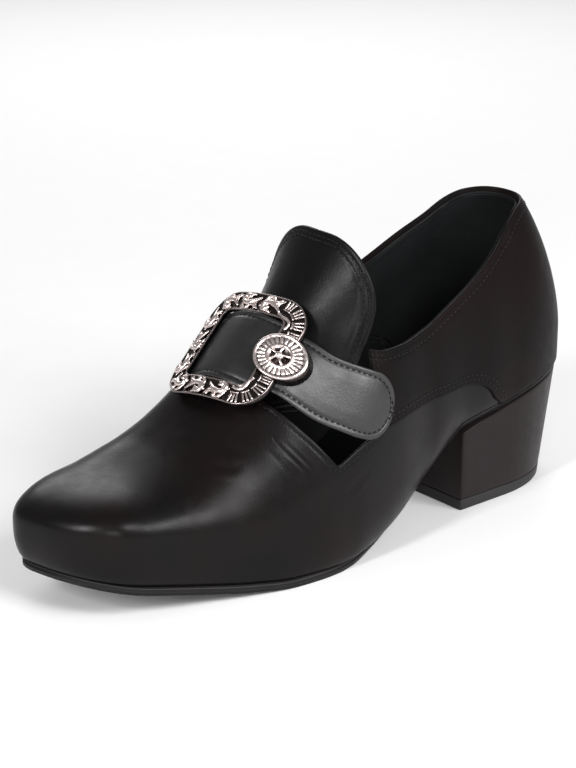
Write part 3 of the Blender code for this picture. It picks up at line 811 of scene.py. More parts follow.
class SHOE_OT_vamp(bpy.types.Operator):
    """Vamp: the front of the upper, from the toe to the seam under the quarters"""

    bl_idname = "shoe.vamp"
    bl_label = "Vamp"

    def execute(self, context):
        sizes = context.scene.shoe_sizes
        columns = plan_columns(VAMP_COLUMNS, toe=44)
        sides = [
            wall_grid(columns, side, None, edge, FOOT_STEPS, EDGE_STEPS, 72)
            for side, edge in ((1, self.outer_edge), (-1, self.inner_edge))
        ]
        points = np.concatenate([sides[0][:, ::-1], sides[1][:, 1:]], axis=1)
        normals = surface_normals(points)
        last_column = int(np.searchsorted(-columns[1], -THROAT_RIDGE))
        relief = np.zeros(points.shape[:2])
        for side in sides:
            edge = side[-1, last_column:]
            away = distance_to(points, edge)
            relief += rolled(away, sizes.edge_roll / MM)
            relief += trough(away - sizes.stitch_inset / MM, *GROOVES["vamp"])
        for line in VAMP_CREASES:
            relief += crease(points, normals, *line)
        points = points + normals * relief[..., None]
        piece = sheet_piece(
            "vamp", points, sizes.vamp_wall / MM,
            [surface_named("vamp_leather"), surface_named("lining")], ["upper"], merge=True,
        )
        shown = slice(last_column, int(np.searchsorted(-columns[1], -QUARTER_LOW_FRONT)) + 1)
        runs = [(side[-1, shown], side[-INNER_ROW, shown], sizes.stitch_inset / MM) for side in sides]
        stitch_rows("vamp_stitches", piece, runs, surface_named("thread"), sizes)
        return {"FINISHED"}

    @staticmethod
    def outer_edge(station):
        """The throat down to the notch, then a line under the quarter. Past the throat there is none."""
        under = seam(station) + TUCK * np.clip((TUCK_START - station) / TUCK_RUN, 0, 1)
        below = np.where(station > NOTCH, throat(station), under)
        return np.where(station > THROAT_RIDGE, NO_EDGE, below)

    @classmethod
    def inner_edge(cls, station):
        """The same on the inner side, where the notch is shallower."""
        outer = cls.outer_edge(station)
        notch = (station > TUCK_START) & (station < INNER_NOTCH_END)
        return np.where(notch, np.maximum(outer, INNER_NOTCH), outer)


class SHOE_OT_quarters(bpy.types.Operator):
    """Quarters: the sides and back of the upper, over the vamp, with the folded topline"""

    bl_idname = "shoe.quarters"
    bl_label = "Quarters"

    def execute(self, context):
        sizes = context.scene.shoe_sizes
        step = sizes.quarter_step / MM
        long_run = np.linspace(EDGE_STEPS[-1], QUARTER_TOP_FRONT - SEAM_FINE, 44)
        short_run = QUARTER_TOP_FRONT - np.linspace(SEAM_FINE, SEAM_START, 10)
        stations = np.concatenate([EDGE_STEPS, long_run[1:], short_run[1:]])
        top_at = QUARTER_TOP_FRONT - stations
        lean = QUARTER_LOW_FRONT - QUARTER_TOP_FRONT
        low_at = top_at + lean * np.clip(1 - stations / QUARTER_LEAN, 0, 1)
        rest = plan_columns([(SEAM_START, 0), (HEEL_AXIS, 8)], heel=46)
        sides = []
        for side in (1, -1):
            halves = []
            for at in (top_at, low_at):
                front = (at, at, np.ones(len(at)))
                run = tuple(np.concatenate([first, more[1:]]) for first, more in zip(front, rest))
                halves.append(wall_grid(run, side, self.low_edge, topline, EDGE_STEPS, EDGE_STEPS, 40, step))
            share = np.linspace(0, 1, halves[0].shape[0])[:, None, None]
            sides.append(halves[1] * (1 - share) + halves[0] * share)
        points = np.concatenate([sides[0], sides[1][:, ::-1][:, 1:]], axis=1)
        normals = surface_normals(points)
        seam_end = len(stations)
        relief = np.zeros(points.shape[:2])
        away = distance_to(points, points[-1])
        inset, gap = sizes.stitch_inset / MM, sizes.row_gap / MM
        relief += rolled(away, sizes.edge_roll / MM) + trough(away - BINDING_GROOVE, *GROOVES["binding"])
        relief += trough(away - BINDING_GROOVE - inset, *GROOVES["topline"])
        for side in sides:
            lower = np.concatenate([side[::-1, 0], side[0, :seam_end]])
            away = distance_to(points, lower)
            relief += rolled(away, sizes.edge_roll / MM)
            for row in (0, 1):
                relief += trough(away - inset - row * gap, *GROOVES["seam"])
        points = points + normals * relief[..., None]
        piece = sheet_piece(
            "quarters", points, (sizes.vamp_wall + sizes.quarter_step) / MM,
            [surface_named("quarter_leather"), surface_named("lining")], ["upper"],
        )
        runs = [(points[-1], points[-1 - INNER_ROW], BINDING_GROOVE + inset)]
        for side in sides:
            for row in (0, 1):
                runs.append((side[0, :seam_end], side[INNER_ROW, :seam_end], inset + row * gap))
            runs.append((side[:, 0], side[:, INNER_ROW], inset))
        stitch_rows("quarter_stitches", piece, runs, surface_named("thread"), sizes)
        return {"FINISHED"}

    @staticmethod
    def low_edge(station):
        return np.where(station < SEAM_START, -NO_EDGE, seam(station))


# Stations of the instep that bands are laid on
INSTEP = (112, 211)


def last_samples():
    """Points of the last over the instep and their outward normals, for laying bands on it."""
    stations = np.linspace(*INSTEP, 46)
    columns = [c[None, :] for c in (stations, stations, np.ones(len(stations)))]
    turn = np.linspace(-0.4, 1, 35)[:, None]
    spots = [np.broadcast_arrays(*last_surface(columns, side, turn)) for side in (1, -1)]
    halves = [np.stack(spot, axis=-1) for spot in spots]
    grid = np.concatenate([halves[0], halves[1][::-1][1:]])
    normals = unit(np.cross(np.gradient(grid, axis=1), np.gradient(grid, axis=0)))
    if ((grid - grid.mean(axis=(0, 1))) * normals).sum() < 0:
        normals = -normals
    return grid.reshape(-1, 3), normals.reshape(-1, 3)


def lay_on(samples, spots, lift, reach=5.0):
    """Moves points along the surface's normals until they stand at a given height over it."""
    points, normals = samples
    for _ in range(4):
        away = ((points[None] - spots[:, None]) ** 2).sum(axis=2)
        weight = np.exp(-(away - away.min(axis=1, keepdims=True)) / (2 * reach * reach))
        weight /= weight.sum(axis=1, keepdims=True)
        normal = unit(weight @ normals)
        spots = spots - ((spots - weight @ points) * normal).sum(axis=1, keepdims=True) * normal
    return spots + normal * lift, normal


def rounded_end(across, left, half, corner):
    """Distance from the edge of a band with a rounded end. left is what remains of its length."""
    inner = half - corner
    in_corner = (np.abs(across) > inner) & (left < corner)
    round_part = corner - np.hypot(np.abs(across) - inner, corner - left)
    return np.where(in_corner, round_part, np.minimum(half - np.abs(across), left))


def to_place(spots):
    return place(spots[..., 0], spots[..., 1], spots[..., 2])


def tongue_rows():
    """Rows of the tongue from its foot to its top: station, height, across, half, fall, distance left."""
    shape = [monotone(range(len(TONGUE)), column) for column in zip(*TONGUE)]
    fine = np.linspace(len(TONGUE) - 1, 0, 400)
    way = way_along(np.column_stack([shape[0](fine), shape[1](fine)]))
    left = np.concatenate([EDGE_STEPS, np.arange(8, 27), np.arange(28, way[-1], 1.5), way[-1:]])[::-1]
    rows = []
    for at in np.linspace(TONGUE_FOOT, TONGUE[0][0], 14)[:-1]:
        more = way[-1] + at - TONGUE[0][0]
        height, across = float(last["ridge"](at)) - FOOT_SINK, float(last["ridge_x"](at)) * FOOT_ACROSS
        rows.append((at, height, across, FOOT_HALF, FOOT_FALL, more))
    for remaining in left:
        at = np.interp(remaining, way, fine)
        rows.append((*(float(curve(at)) for curve in shape), remaining))
    return rows


class SHOE_OT_tongue(bpy.types.Operator):
    """Tongue: flares up behind the buckle to a rounded top, with a double row of stitches"""

    bl_idname = "shoe.tongue"
    bl_label = "Tongue"

    def execute(self, context):
        sizes = context.scene.shoe_sizes
        samples = last_samples()
        rows = tongue_rows()
        spots, away = [], []
        for i, (station, height, across, half, fall, left) in enumerate(rows):
            before, after = rows[max(i - 1, 0)], rows[min(i + 1, len(rows) - 1)]
            run = math.hypot(after[0] - before[0], after[1] - before[1])
            out_s, out_z = (after[1] - before[1]) / run, (before[0] - after[0]) / run
            width = half
            if left < TONGUE_CORNER:
                width -= TONGUE_CORNER * (1 - math.sqrt(max(1 - (1 - left / TONGUE_CORNER) ** 2, 0.0)))
            blend = min(max((TONGUE_FREE[0] - station) / (TONGUE_FREE[0] - TONGUE_FREE[1]), 0.0), 1.0)
            q = row_places(width, 40)
            sink = fall * (q / half) ** 2
            free = np.stack([across + q, station - out_s * sink, height - out_z * sink], axis=1)
            laid, normal = lay_on(samples, free, -sizes.vamp_wall / MM - TONGUE_GAP)
            over_top = free[:, 2] - topline(free[:, 1]) - TONGUE_RISE
            room = np.maximum(np.maximum(free[:, 1] - QUARTER_FRONT, over_top), 0.0)
            over = ((free - laid) * normal).sum(axis=1) - room
            free = free - normal * np.maximum(over, 0.0)[:, None]
            spots.append(laid * (1 - blend) + free * blend)
            away.append(rounded_end(q, np.full(len(q), left), half, TONGUE_CORNER))
        left = np.array([row[5] for row in rows])
        soft = blur_rows(np.array(spots), np.clip((left - 16) / 8, 0, 1))
        points, away = to_place(soft), np.array(away)
        normals = surface_normals(points, 5)
        inset, gap = sizes.stitch_inset / MM, sizes.row_gap / MM
        relief = rolled(away, BAND_ROLL)
        for row in (0, 1):
            relief += trough(away - inset - row * gap, *GROOVES["tongue"])
        for line in tongue_creases():
            relief += crease(points, normals, *line)
        points = points + normals * relief[..., None]
        piece = sheet_piece(
            "tongue_leather", points, sizes.tongue_thick / MM,
            [surface_named("tongue_leather"), surface_named("lining")], ["tongue"], merge=True,
        )
        shown = slice(int(np.searchsorted(-left, -TONGUE_STITCHED)), -1)
        far = -1 - INNER_COLUMN
        edge = np.concatenate([points[shown, 0], points[-1], points[shown, -1][::-1]])
        inner = np.concatenate([points[shown, INNER_COLUMN], points[far], points[shown, far][::-1]])
        runs = [(edge, inner, inset), (edge, inner, inset + gap)]
        stitch_rows("tongue_stitches", piece, runs, surface_named("thread"), sizes)
        return {"FINISHED"}


def buckle_point(u, v, n):
    """A point in the buckle's frame: u along the strap, v up the instep, n outwards, bent to the foot."""
    slope, turn = math.radians(BUCKLE_SLOPE), math.radians(BUCKLE_TURN)
    level = np.array((1.0, 0.0, 0.0))
    uphill = np.array((0.0, -math.cos(slope), math.sin(slope)))
    outward = np.array((0.0, math.sin(slope), math.cos(slope)))
    axis_u = level * math.cos(turn) + uphill * math.sin(turn)
    axis_v = uphill * math.cos(turn) - level * math.sin(turn)
    u, v, n = (np.asarray(value, float)[..., None] for value in (u, v, n))
    return np.array(BUCKLE_MIDDLE) + axis_u * u + axis_v * v + outward * (n - u * u / (2 * BUCKLE_BEND))


def strap_height(u):
    """Height of the strap's upper face in the buckle's frame: under both bars, up over the middle one."""
    bulge = STRAP_BULGE * max(1 - (u / (BUCKLE_WINDOW - 1.0)) ** 2, 0.0) ** 1.1
    return bulge - BUCKLE_THICK / 2 - STRAP_UNDER


def strap_rows(samples, lift):
    """Control rows over the strap's upper face, inner quarter to free end, and each row's half width."""
    shares = np.linspace(-1, 1, 5)
    rows, halves = [], []

    def laid_row(middle, ahead, half):
        normal = lay_on(samples, middle[None], 0.0)[1][0]
        wide = unit(np.cross(ahead, normal))
        rows.append(lay_on(samples, middle + wide * half * shares[:, None], lift)[0])
        halves.append(half)

    inner = [np.array(p) for p in STRAP_INNER]
    for i, middle in enumerate(inner):
        laid_row(middle, inner[min(i + 1, len(inner) - 1)] - inner[max(i - 1, 0)], STRAP_HALF)
    for u in BUCKLE_HALF * (np.arange(13) / 6 - 1):
        half = STRAP_HALF + np.interp(abs(u), STRAP_TAPER, (STRAP_SPREAD, 0.0))
        rows.append(buckle_point(u, shares * half, strap_height(u)))
        halves.append(half)
    outer = [np.array(p) for p in STRAP_OUTER]
    end = np.array(STRAP_END)
    for i, middle in enumerate(outer):
        laid_row(middle, (outer + [end])[i + 1] - outer[max(i - 1, 0)], STRAP_HALF)
    for angle in 0.5 * math.pi * np.array(END_TURNS):
        middle = outer[-1] + (end - outer[-1]) * math.sin(angle)
        laid_row(middle, end - outer[-1], STRAP_HALF * math.cos(angle))
    return np.array(rows), np.array(halves), np.linalg.norm(end - outer[-1])


class SHOE_OT_strap(bpy.types.Operator):
    """Strap: from the inner quarter through the buckle to its stitched round end on the outer side"""

    bl_idname = "shoe.strap"
    bl_label = "Strap"

    def execute(self, context):
        sizes = context.scene.shoe_sizes
        lift = (sizes.quarter_step + sizes.strap_thick) / MM + STRAP_LIFT
        control, halves, end_length = strap_rows(last_samples(), lift)
        way = way_along(control[:, 2])
        total = way[-1]
        end_turn = np.linspace(0, 0.5 * math.pi, 40)
        end = total - end_length * (1 - np.sin(end_turn))
        at = np.concatenate([np.linspace(0, total - end_length, 130)[:-1], end])
        half = np.interp(at, way, halves)
        coarse = np.linspace(-1, 1, control.shape[1])
        lanes = control.swapaxes(0, 1)
        curves = np.array([[monotone(way, lane[:, k])(at) for k in range(3)] for lane in lanes])
        spots, away = [], []
        for i, wide in enumerate(half):
            q = row_places(wide, 20)
            spots.append(np.stack([monotone(coarse, curves[:, k, i])(q / wide) for k in range(3)], axis=1))
            left = (total - at[i]) / end_length
            round_end = STRAP_HALF * (1 - np.hypot(q / STRAP_HALF, 1 - left))
            away.append(np.clip(round_end if left < 1 else wide - np.abs(q), 0, None))
        points, away = to_place(np.array(spots)), np.array(away)
        normals = surface_normals(points, 2)
        inset = sizes.stitch_inset / MM
        relief = rolled(away, BAND_ROLL) + trough(away - inset, *GROOVES["strap"])
        relief += STRAP_PAD * np.clip((away - 3.2) / 5.0, 0, 1) ** 0.6
        points = points + normals * relief[..., None]
        piece = sheet_piece(
            "strap_leather", points, sizes.strap_thick / MM,
            [surface_named("strap_leather"), surface_named("lining")], ["strap"], merge=True,
        )
        edge = np.concatenate([points[:, 0], points[:, -1][::-1]])
        inner = np.concatenate([points[:, INNER_COLUMN], points[:, -1 - INNER_COLUMN][::-1]])
        stitch_rows("strap_stitches", piece, [(edge, inner, inset)], surface_named("thread"), sizes)
        return {"FINISHED"}


# Rounding of the sole's and the insole's edges, and the insole's thickness
SOLE_ROUND = 0.6
SOCK_ROUND = 0.5
SOCK_THICK = 2.0


def rounded_edge(radius):
    """Section of a layer's rounded edge, bottom to top: inset from the rim, and a level that counts up to
    0.5 mm from the lower face, and past that back from 1 at the upper one. With a radius over 0.5 the two
    middle rows cross, and the edge has a thin fold."""
    turns = np.linspace(0, 0.5 * math.pi, 4)
    lower = [(radius * (1 - math.sin(turn)), radius * (1 - math.cos(turn))) for turn in turns]
    upper = [(radius * (1 - math.cos(turn)), 1.0 - radius * (1 - math.sin(turn))) for turn in turns]
    return lower + upper


def level(height):
    """A curve with one height all along."""
    return lambda station: np.full(np.shape(station), height)


def sole_piece(name, margin, low, high, radius, surfaces, replaces):
    """A layer of the sole as one closed grid wrapped round its section, toe to heel."""
    columns = plan_columns([(TOE_AXIS, 0), (HEEL_AXIS, 120)], toe=44, heel=44)
    section = rounded_edge(radius)
    loop = []
    for side, order in ((1, section), (-1, section[::-1])):
        for inset, at in order:
            x, s = rim(columns, side, margin(columns[1]) - inset)
            up = high(s) - (1 - at) if at > 0.5 else low(s) + at
            loop.append(np.stack([x, s, sole["under"](s) + up], axis=-1))
    count = len(section)
    across = np.linspace(0, 1, 14)[1:-1, None, None]
    tops = loop[count - 1] + (loop[count] - loop[count - 1]) * across
    lows = loop[-1] + (loop[0] - loop[-1]) * across
    for band, face in ((tops, high), (lows, low)):
        band[..., 2] = sole["under"](band[..., 1]) + face(band[..., 1])
    bm = grid_bmesh(to_place(np.concatenate([loop[:count], tops, loop[count:], lows, loop[:1]])))
    close_up(bm)
    bmesh.ops.recalc_face_normals(bm, faces=bm.faces)
    return new_piece(name, bm, surfaces, replaces)


def sock_margin(station):
    """The insole ends where the wall does, which turns out further where the last swells more."""
    return 0.3 * last["swell"](station) - 2.35


class SHOE_OT_sole(bpy.types.Operator):
    """Outsole and insole"""

    bl_idname = "shoe.sole"
    bl_label = "Sole"

    def execute(self, context):
        sole_piece(
            "sole", sole["margin"], level(0.0), sole["thick"], SOLE_ROUND,
            [surface_named("sole_edge")], ["outsole"],
        )
        sole_piece(
            "sock", sock_margin, self.sock_low, self.sock_high, SOCK_ROUND,
            [surface_named("lining")], ["insole"],
        )
        return {"FINISHED"}

    @staticmethod
    def sock_low(station):
        return sole["thick"](station) + FIT_GAP

    @classmethod
    def sock_high(cls, station):
        return cls.sock_low(station) + SOCK_THICK


def heel_outline(half, back, rounding, corner=1.0):
    """The heel in plan as (across, station), right round from the middle of its breast."""
    side = [(x, HEEL_BREAST) for x in np.linspace(0, half - corner, 6)]
    for angle in np.linspace(0, 0.5 * math.pi, 5)[1:]:
        side.append((half - corner * (1 - math.sin(angle)), HEEL_BREAST - corner * (1 - math.cos(angle))))
    side += [(half, s) for s in np.linspace(HEEL_BREAST - corner, back + rounding, 10)[1:]]
    for angle in fan_angles(40, half, rounding, HEEL_ROUND)[1:]:
        share = max(math.cos(angle), 0.0) ** (2 / HEEL_ROUND)
        side.append((half * share, back + rounding * (1 - math.sin(angle) ** (2 / HEEL_ROUND))))
    other = [(-x, s) for x, s in side[::-1][1:]]
    return np.array(side + other)


# Rows up the heel block and up its top piece: share of the height, inset
HEEL_ROWS = (
    (0.0, 0.5),
    (0.004, 0.15),
    (0.012, 0.0),
    *((float(share), 0.0) for share in np.linspace(0.05, 0.95, 12)),
    (0.985, 0.0),
    (0.995, 0.15),
    (1.0, 0.5),
)
TOP_PIECE_ROWS = ((0.0, 0.6), (0.04, 0.2), (0.12, 0.0), (0.5, 0.0), (0.9, 0.0), (0.97, 0.15), (1.0, 0.4))
SEAT_GAP = 0.2


def heel_piece(name, shares, low, high, inset_rows, surfaces, replaces):
    """A slice of the heel between two shares of its height, with rounded edges, closed across."""
    foot = heel_outline(HEEL_FOOT_HALF, HEEL_FOOT_BACK, HEEL_FOOT_ROUND)
    seat = heel_outline(HEEL_TOP_HALF, 0.0, HEEL_TOP_ROUND)
    centre = np.array((0.0, HEEL_CENTRE))
    rows = []
    for part, inset in inset_rows:
        ring = foot + (seat - foot) * (shares[0] + (shares[1] - shares[0]) * part)
        ring = ring - unit(ring - centre) * inset
        height = low(ring[:, 1]) + (high(ring[:, 1]) - low(ring[:, 1])) * part
        rows.append(np.stack([ring[:, 0], ring[:, 1], height], axis=-1))
    bm = grid_bmesh(to_place(np.array(rows)))
    bmesh.ops.remove_doubles(bm, verts=bm.verts, dist=MERGE * MM)
    bmesh.ops.holes_fill(bm, edges=[e for e in bm.edges if e.is_boundary], sides=0)
    bmesh.ops.triangulate(bm, faces=[f for f in bm.faces if len(f.verts) > 4])
    bmesh.ops.recalc_face_normals(bm, faces=bm.faces)
    piece = new_piece(name, bm, surfaces, replaces)
    piece.data.set_sharp_from_angle(angle=math.radians(40))
    return piece


class SHOE_OT_heel(bpy.types.Operator):
    """Covered heel block and the top piece under it"""

    bl_idname = "shoe.heel"
    bl_label = "Heel"

    def execute(self, context):
        split = TOP_PIECE / SOLE[0][1]
        heel_piece(
            "heel_cover", (split, 1.0), level(TOP_PIECE + FIT_GAP), self.seat, HEEL_ROWS,
            [surface_named("heel_cover")], ["heel_block"],
        )
        heel_piece(
            "heel_top_piece", (0.0, split), level(0.0), level(TOP_PIECE), TOP_PIECE_ROWS,
            [surface_named("sole_edge")], ["top_piece"],
        )
        return {"FINISHED"}

    @staticmethod
    def seat(station):
        return sole["under"](station) - SEAT_GAP


def rounded_square(half, corner, steps, along=10):
    """Points round a square with round corners, with a few along its straight sides."""
    points = []
    for quarter in range(4):
        sign_u = 1 if quarter in (0, 3) else -1
        sign_v = 1 if quarter in (0, 1) else -1
        for i in range(steps + 1):
            angle = 0.5 * math.pi * (quarter + i / steps)
            points.append((sign_u * (half - corner) + corner * math.cos(angle),
                           sign_v * (half - corner) + corner * math.sin(angle)))
        straight = 2 * (half - corner)
        way = np.array((-math.sin(angle), math.cos(angle)))
        start = np.array(points[-1])
        points += [tuple(start + way * straight * i / along) for i in range(1, along)]
    return np.array(points)


# Section of the cast band: share from its window to its outer edge, height
BAND_SECTION = (
    (0.0, -1.6),
    (0.0, 0.3),
    (0.03, 0.6),
    (0.07, 0.6),
    (0.11, 0.35),
    (0.14, 0.1),
    (0.5, 0.15),
    (0.87, 0.05),
    (0.91, 0.3),
    (0.95, 0.65),
    (0.985, 0.5),
    (1.0, 0.0),
    (1.0, -1.2),
    (0.97, -1.6),
    (0.5, -1.6),
    (0.0, -1.6),
)
BAND_WIDTH = BUCKLE_HALF - BUCKLE_WINDOW

# One unit of the scrollwork: place along and across the band, heading in degrees, length, bend at its
# start and at its end in radians a millimetre, width
SCROLLS = (
    (0.2, -3.0, 42, 16.5, -0.02, -0.98, 2.1),
    (0.4, 3.5, -48, 8.0, 0.12, 0.9, 1.6),
    (4.6, -3.7, 8, 6.4, 0.12, 0.8, 1.4),
    (6.8, 4.0, -10, 5.8, -0.2, -0.9, 1.4),
    (2.4, -0.2, 85, 3.6, 0.0, 0.7, 1.1),
    (10.6, 1.6, 250, 3.8, 0.3, 0.9, 1.0),
)

# Scrollwork: run of one unit, where it starts round the band, count. Then the middles of the blocks of
# three hatches, and where the long scrolls inside the two outer corners start and stop
SCROLL_PITCH = 12.0
SCROLL_START = 13.6
SCROLL_UNITS = 9
HATCH_BLOCKS = (124.6, 129.4, 134.2, 138.8, 161.4, 1.9, 6.7, 11.3)
CORNER_SCROLLS = ((122.6, 137.8), (-1.2, 14.0))

# Section of the rosette: distance from its middle, height
ROSETTE_SECTION = (
    (0.0, 2.3),
    (1.5, 2.3),
    (3.3, 2.35),
    (3.8, 3.0),
    (4.2, 3.45),
    (4.6, 3.35),
    (4.9, 2.9),
    (5.4, 2.95),
    (6.4, 2.95),
    (7.4, 2.8),
    (7.9, 2.6),
    (8.2, 2.75),
    (8.45, 3.1),
    (8.8, 3.2),
    (9.15, 3.05),
    (9.4, 2.5),
    (9.4, -1.5),
    (0.0, -1.5),
)

# Rosette: place along the strap, how much wider it is than its section, how far it leans out
ROSETTE_AT = 25.6
ROSETTE_SCALE = 1.1
ROSETTE_LEAN = 0.2

# Flutes between two radii, claws and the bead in the middle, and the relief that counts as fully bright
FLUTE_FROM = 4.8
FLUTE_TO = 8.1
FLUTE_DEPTH = 0.65
CLAWS = 5
CLAW_REACH = 4.3
BEAD = 1.6
RELIEF = 0.9


def band_places():
    """A function from a way round the buckle's band and a share of its width to places in its frame."""
    squares = (BUCKLE_WINDOW, WINDOW_CORNER), (BUCKLE_HALF, BUCKLE_CORNER)
    rings = [rounded_square(*square, 16) for square in squares]
    inner, outer = (np.vstack([ring, ring[:1]]) for ring in rings)
    middle = (inner + outer) / 2
    way = way_along(middle)

    def places(along, share):
        along = np.mod(along, way[-1])
        near, far = (
            np.stack([np.interp(along, way, ring[:, k]) for k in (0, 1)], axis=-1) for ring in (inner, outer)
        )
        return near + (far - near) * np.asarray(share)[..., None]

    return places, inner, outer


def scroll_line(along, across, heading, length, bend, curl):
    """A line whose bend grows along it, so that it sweeps out and ends in a curl."""
    t = np.linspace(0, 1, 26)
    turn = math.radians(heading) + length * (bend * t + (curl - bend) * t**3 / 3)
    step = length / (len(t) - 1)
    return along + np.cumsum(np.cos(turn)) * step, across + np.cumsum(np.sin(turn)) * step


def cast_lines(bm, lines):
    """Adds raised lines of round section: places in the buckle's frame and a radius at each."""
    curve = bpy.data.curves.new("cast_lines", "CURVE")
    curve.dimensions = "3D"
    curve.bevel_depth = 1.0
    curve.bevel_resolution = 2
    curve.use_fill_caps = True
    for places, radii in lines:
        spline = curve.splines.new("POLY")
        spline.points.add(len(places) - 1)
        for point, spot, radius in zip(spline.points, places, radii):
            point.co = (*spot, 1.0)
            point.radius = radius
    made = bpy.data.objects.new("cast_lines", curve)
    bpy.context.scene.collection.objects.link(made)
    graph = bpy.context.evaluated_depsgraph_get()
    mesh = bpy.data.meshes.new_from_object(made.evaluated_get(graph))
    bm.from_mesh(mesh)
    bpy.data.objects.remove(made)
    bpy.data.curves.remove(curve)
    bpy.data.meshes.remove(mesh)


def silver_piece(name, bm, ground, replaces=(), lean=0.0):
    """Finishes a casting drawn in the buckle's frame: notes its relief over the ground, then bends it.
    A lean tips it outwards about the rosette's middle."""
    close_up(bm, scale=1.0)
    bmesh.ops.recalc_face_normals(bm, faces=bm.faces)
    relief = bm.verts.layers.float.new("relief")
    spots = np.array([vert.co for vert in bm.verts])
    u, v, n = spots.T
    bent = to_place(buckle_point(u, v, n - lean * (u - ROSETTE_AT)))
    for vert, spot, height in zip(bm.verts, bent, np.clip((n - ground) / RELIEF, 0, 1)):
        vert[relief] = height
        vert.co = Vector(spot) * MM
    return new_piece(name, bm, [surface_named("silver")], replaces)


class SHOE_OT_buckle(bpy.types.Operator):
    """Buckle: cast frame with scrollwork, hatched corners and a fluted rosette on its outer bar"""

    bl_idname = "shoe.buckle"
    bl_label = "Buckle"

    def execute(self, context):
        places, inner, outer = band_places()
        rows = []
        for share, height in BAND_SECTION:
            ring = inner + (outer - inner) * share
            rows.append(np.column_stack([ring, np.full(len(ring), height)]))
        bm = grid_bmesh(np.array(rows), scale=1.0)
        cast_lines(bm, self.scrollwork(places) + self.hatching(places))
        silver_piece("buckle_frame", bm, 0.15, ["buckle"])
        self.rosette(context.scene.shoe_sizes)
        return {"FINISHED"}

    @staticmethod
    def scrollwork(places):
        lines = []
        for unit in range(SCROLL_UNITS):
            flip = -1 if unit % 2 else 1
            for along, across, heading, length, bend, curl, width in SCROLLS:
                x, y = scroll_line(along, across * flip, heading * flip, length, bend * flip, curl * flip)
                spots = places(SCROLL_START + unit * SCROLL_PITCH + x, 0.5 + y / BAND_WIDTH)
                t = np.linspace(0, 1, len(x))
                radii = 0.62 * width * np.interp(t, (0, 0.35, 0.8, 1), (0.35, 1.0, 0.8, 1.0))
                lines.append((np.column_stack([spots, 0.2 + 0.45 * radii]), radii))
        return lines

    @staticmethod
    def hatching(places):
        lines = []
        for middle in HATCH_BLOCKS:
            for step in (-1.25, 0.0, 1.25):
                spots = places(np.full(6, middle + step), np.linspace(0.5, 0.92, 6))
                lines.append((np.column_stack([spots, np.full(6, 0.35)]), np.full(6, 0.5)))
            spots = places(middle + np.linspace(-1.9, 1.9, 6), np.full(6, 0.44))
            lines.append((np.column_stack([spots, np.full(6, 0.4)]), np.full(6, 0.4)))
        for start, stop in CORNER_SCROLLS:
            t = np.linspace(0, 1, 40)
            spots = places(start + (stop - start) * t, 0.2 + 0.08 * np.sin(2 * math.pi * t))
            radii = np.interp(t, (0, 0.12, 0.5, 0.88, 1), (0.75, 0.55, 0.85, 0.55, 0.75))
            lines.append((np.column_stack([spots, np.full(40, 0.55)]), radii))
        return lines

    @staticmethod
    def rosette(sizes):
        angle = np.linspace(0, 2 * math.pi, 8 * sizes.flutes + 1)
        rows = []
        for radius, top in ROSETTE_SECTION:
            share = (radius - FLUTE_FROM) / (FLUTE_TO - FLUTE_FROM)
            depth = FLUTE_DEPTH * math.sin(math.pi * share) ** 0.5 if 0 < share < 1 else 0.0
            height = top + depth * (np.abs(np.cos(0.5 * sizes.flutes * angle)) ** 0.8 - 0.7)
            out, up = (ROSETTE_SCALE * radius * turned(angle) for turned in (np.cos, np.sin))
            rows.append(np.column_stack([ROSETTE_AT + out, up, height]))
        bm = grid_bmesh(np.array(rows), scale=1.0)
        bead = Matrix.Translation((ROSETTE_AT, 0.0, 3.1))
        bmesh.ops.create_uvsphere(bm, u_segments=20, v_segments=12, radius=BEAD, matrix=bead)
        lines = []
        for claw in range(CLAWS):
            way = 2 * math.pi * (claw + 0.25) / CLAWS
            reach = np.linspace(1.0, CLAW_REACH, 8)
            height = 3.2 + 0.45 * np.sin(reach / CLAW_REACH * math.pi)
            out, up = reach * math.cos(way), reach * math.sin(way)
            radii = np.interp(reach, (1.0, 3.0, CLAW_REACH), (0.35, 0.55, 0.5))
            lines.append((np.column_stack([ROSETTE_AT + out, up, height]), radii))
        cast_lines(bm, lines)
        silver_piece("buckle_rosette", bm, 2.25, ["buckle"], ROSETTE_LEAN)


class SHOE_OT_bar(bpy.types.Operator):
    """Finish of the bar under the strap"""

    bl_idname = "shoe.bar"
    bl_label = "Buckle bar"

    def execute(self, context):
        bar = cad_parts["buckle_bar"]
        bar.data.materials.clear()
        bar.data.materials.append(surface_named("bar_metal"))
        return {"FINISHED"}


LIGHT_DISTANCE = 1.3

# Softboxes: direction from the shoe, width, height, power
STUDIO_LIGHTS = (
    ("over", (0.76, -0.04, 0.64), 0.45, 0.45, 8.5),
    ("side", (0.82, 0.38, 0.42), 0.5, 0.45, 9.5),
    ("back", (-0.72, 0.52, 0.46), 1.0, 0.5, 5.5),
    ("face", (0.72, -0.66, 0.27), 0.3, 0.25, 3.0),
    ("corner", (0.16, -0.88, 0.46), 0.16, 0.5, 10.0),
)
WORLD_LIGHT = 0.3
FLOOR_HALF = 6.0

# Camera: where it looks, distance, direction and height in degrees, roll in degrees, lens
CAMERA_TARGET = Vector((0.0306, -0.13245, 0.084))
CAMERA_DISTANCE = 1.056
CAMERA_AZIMUTH = 50.0
CAMERA_ELEVATION = 20.7
CAMERA_ROLL = -0.2
CAMERA_LENS = 120.03


def soft_light(name, way, width, height, power):
    """A softbox that faces the shoe from a direction."""
    lamp = bpy.data.lights.new(name, "AREA")
    lamp.shape = "RECTANGLE"
    lamp.size, lamp.size_y, lamp.energy = width, height, power
    made = bpy.data.objects.new(name, lamp)
    bpy.context.scene.collection.objects.link(made)
    made.location = CAMERA_TARGET + Vector(way).normalized() * LIGHT_DISTANCE
    made.rotation_euler = (CAMERA_TARGET - made.location).to_track_quat("-Z", "Y").to_euler()


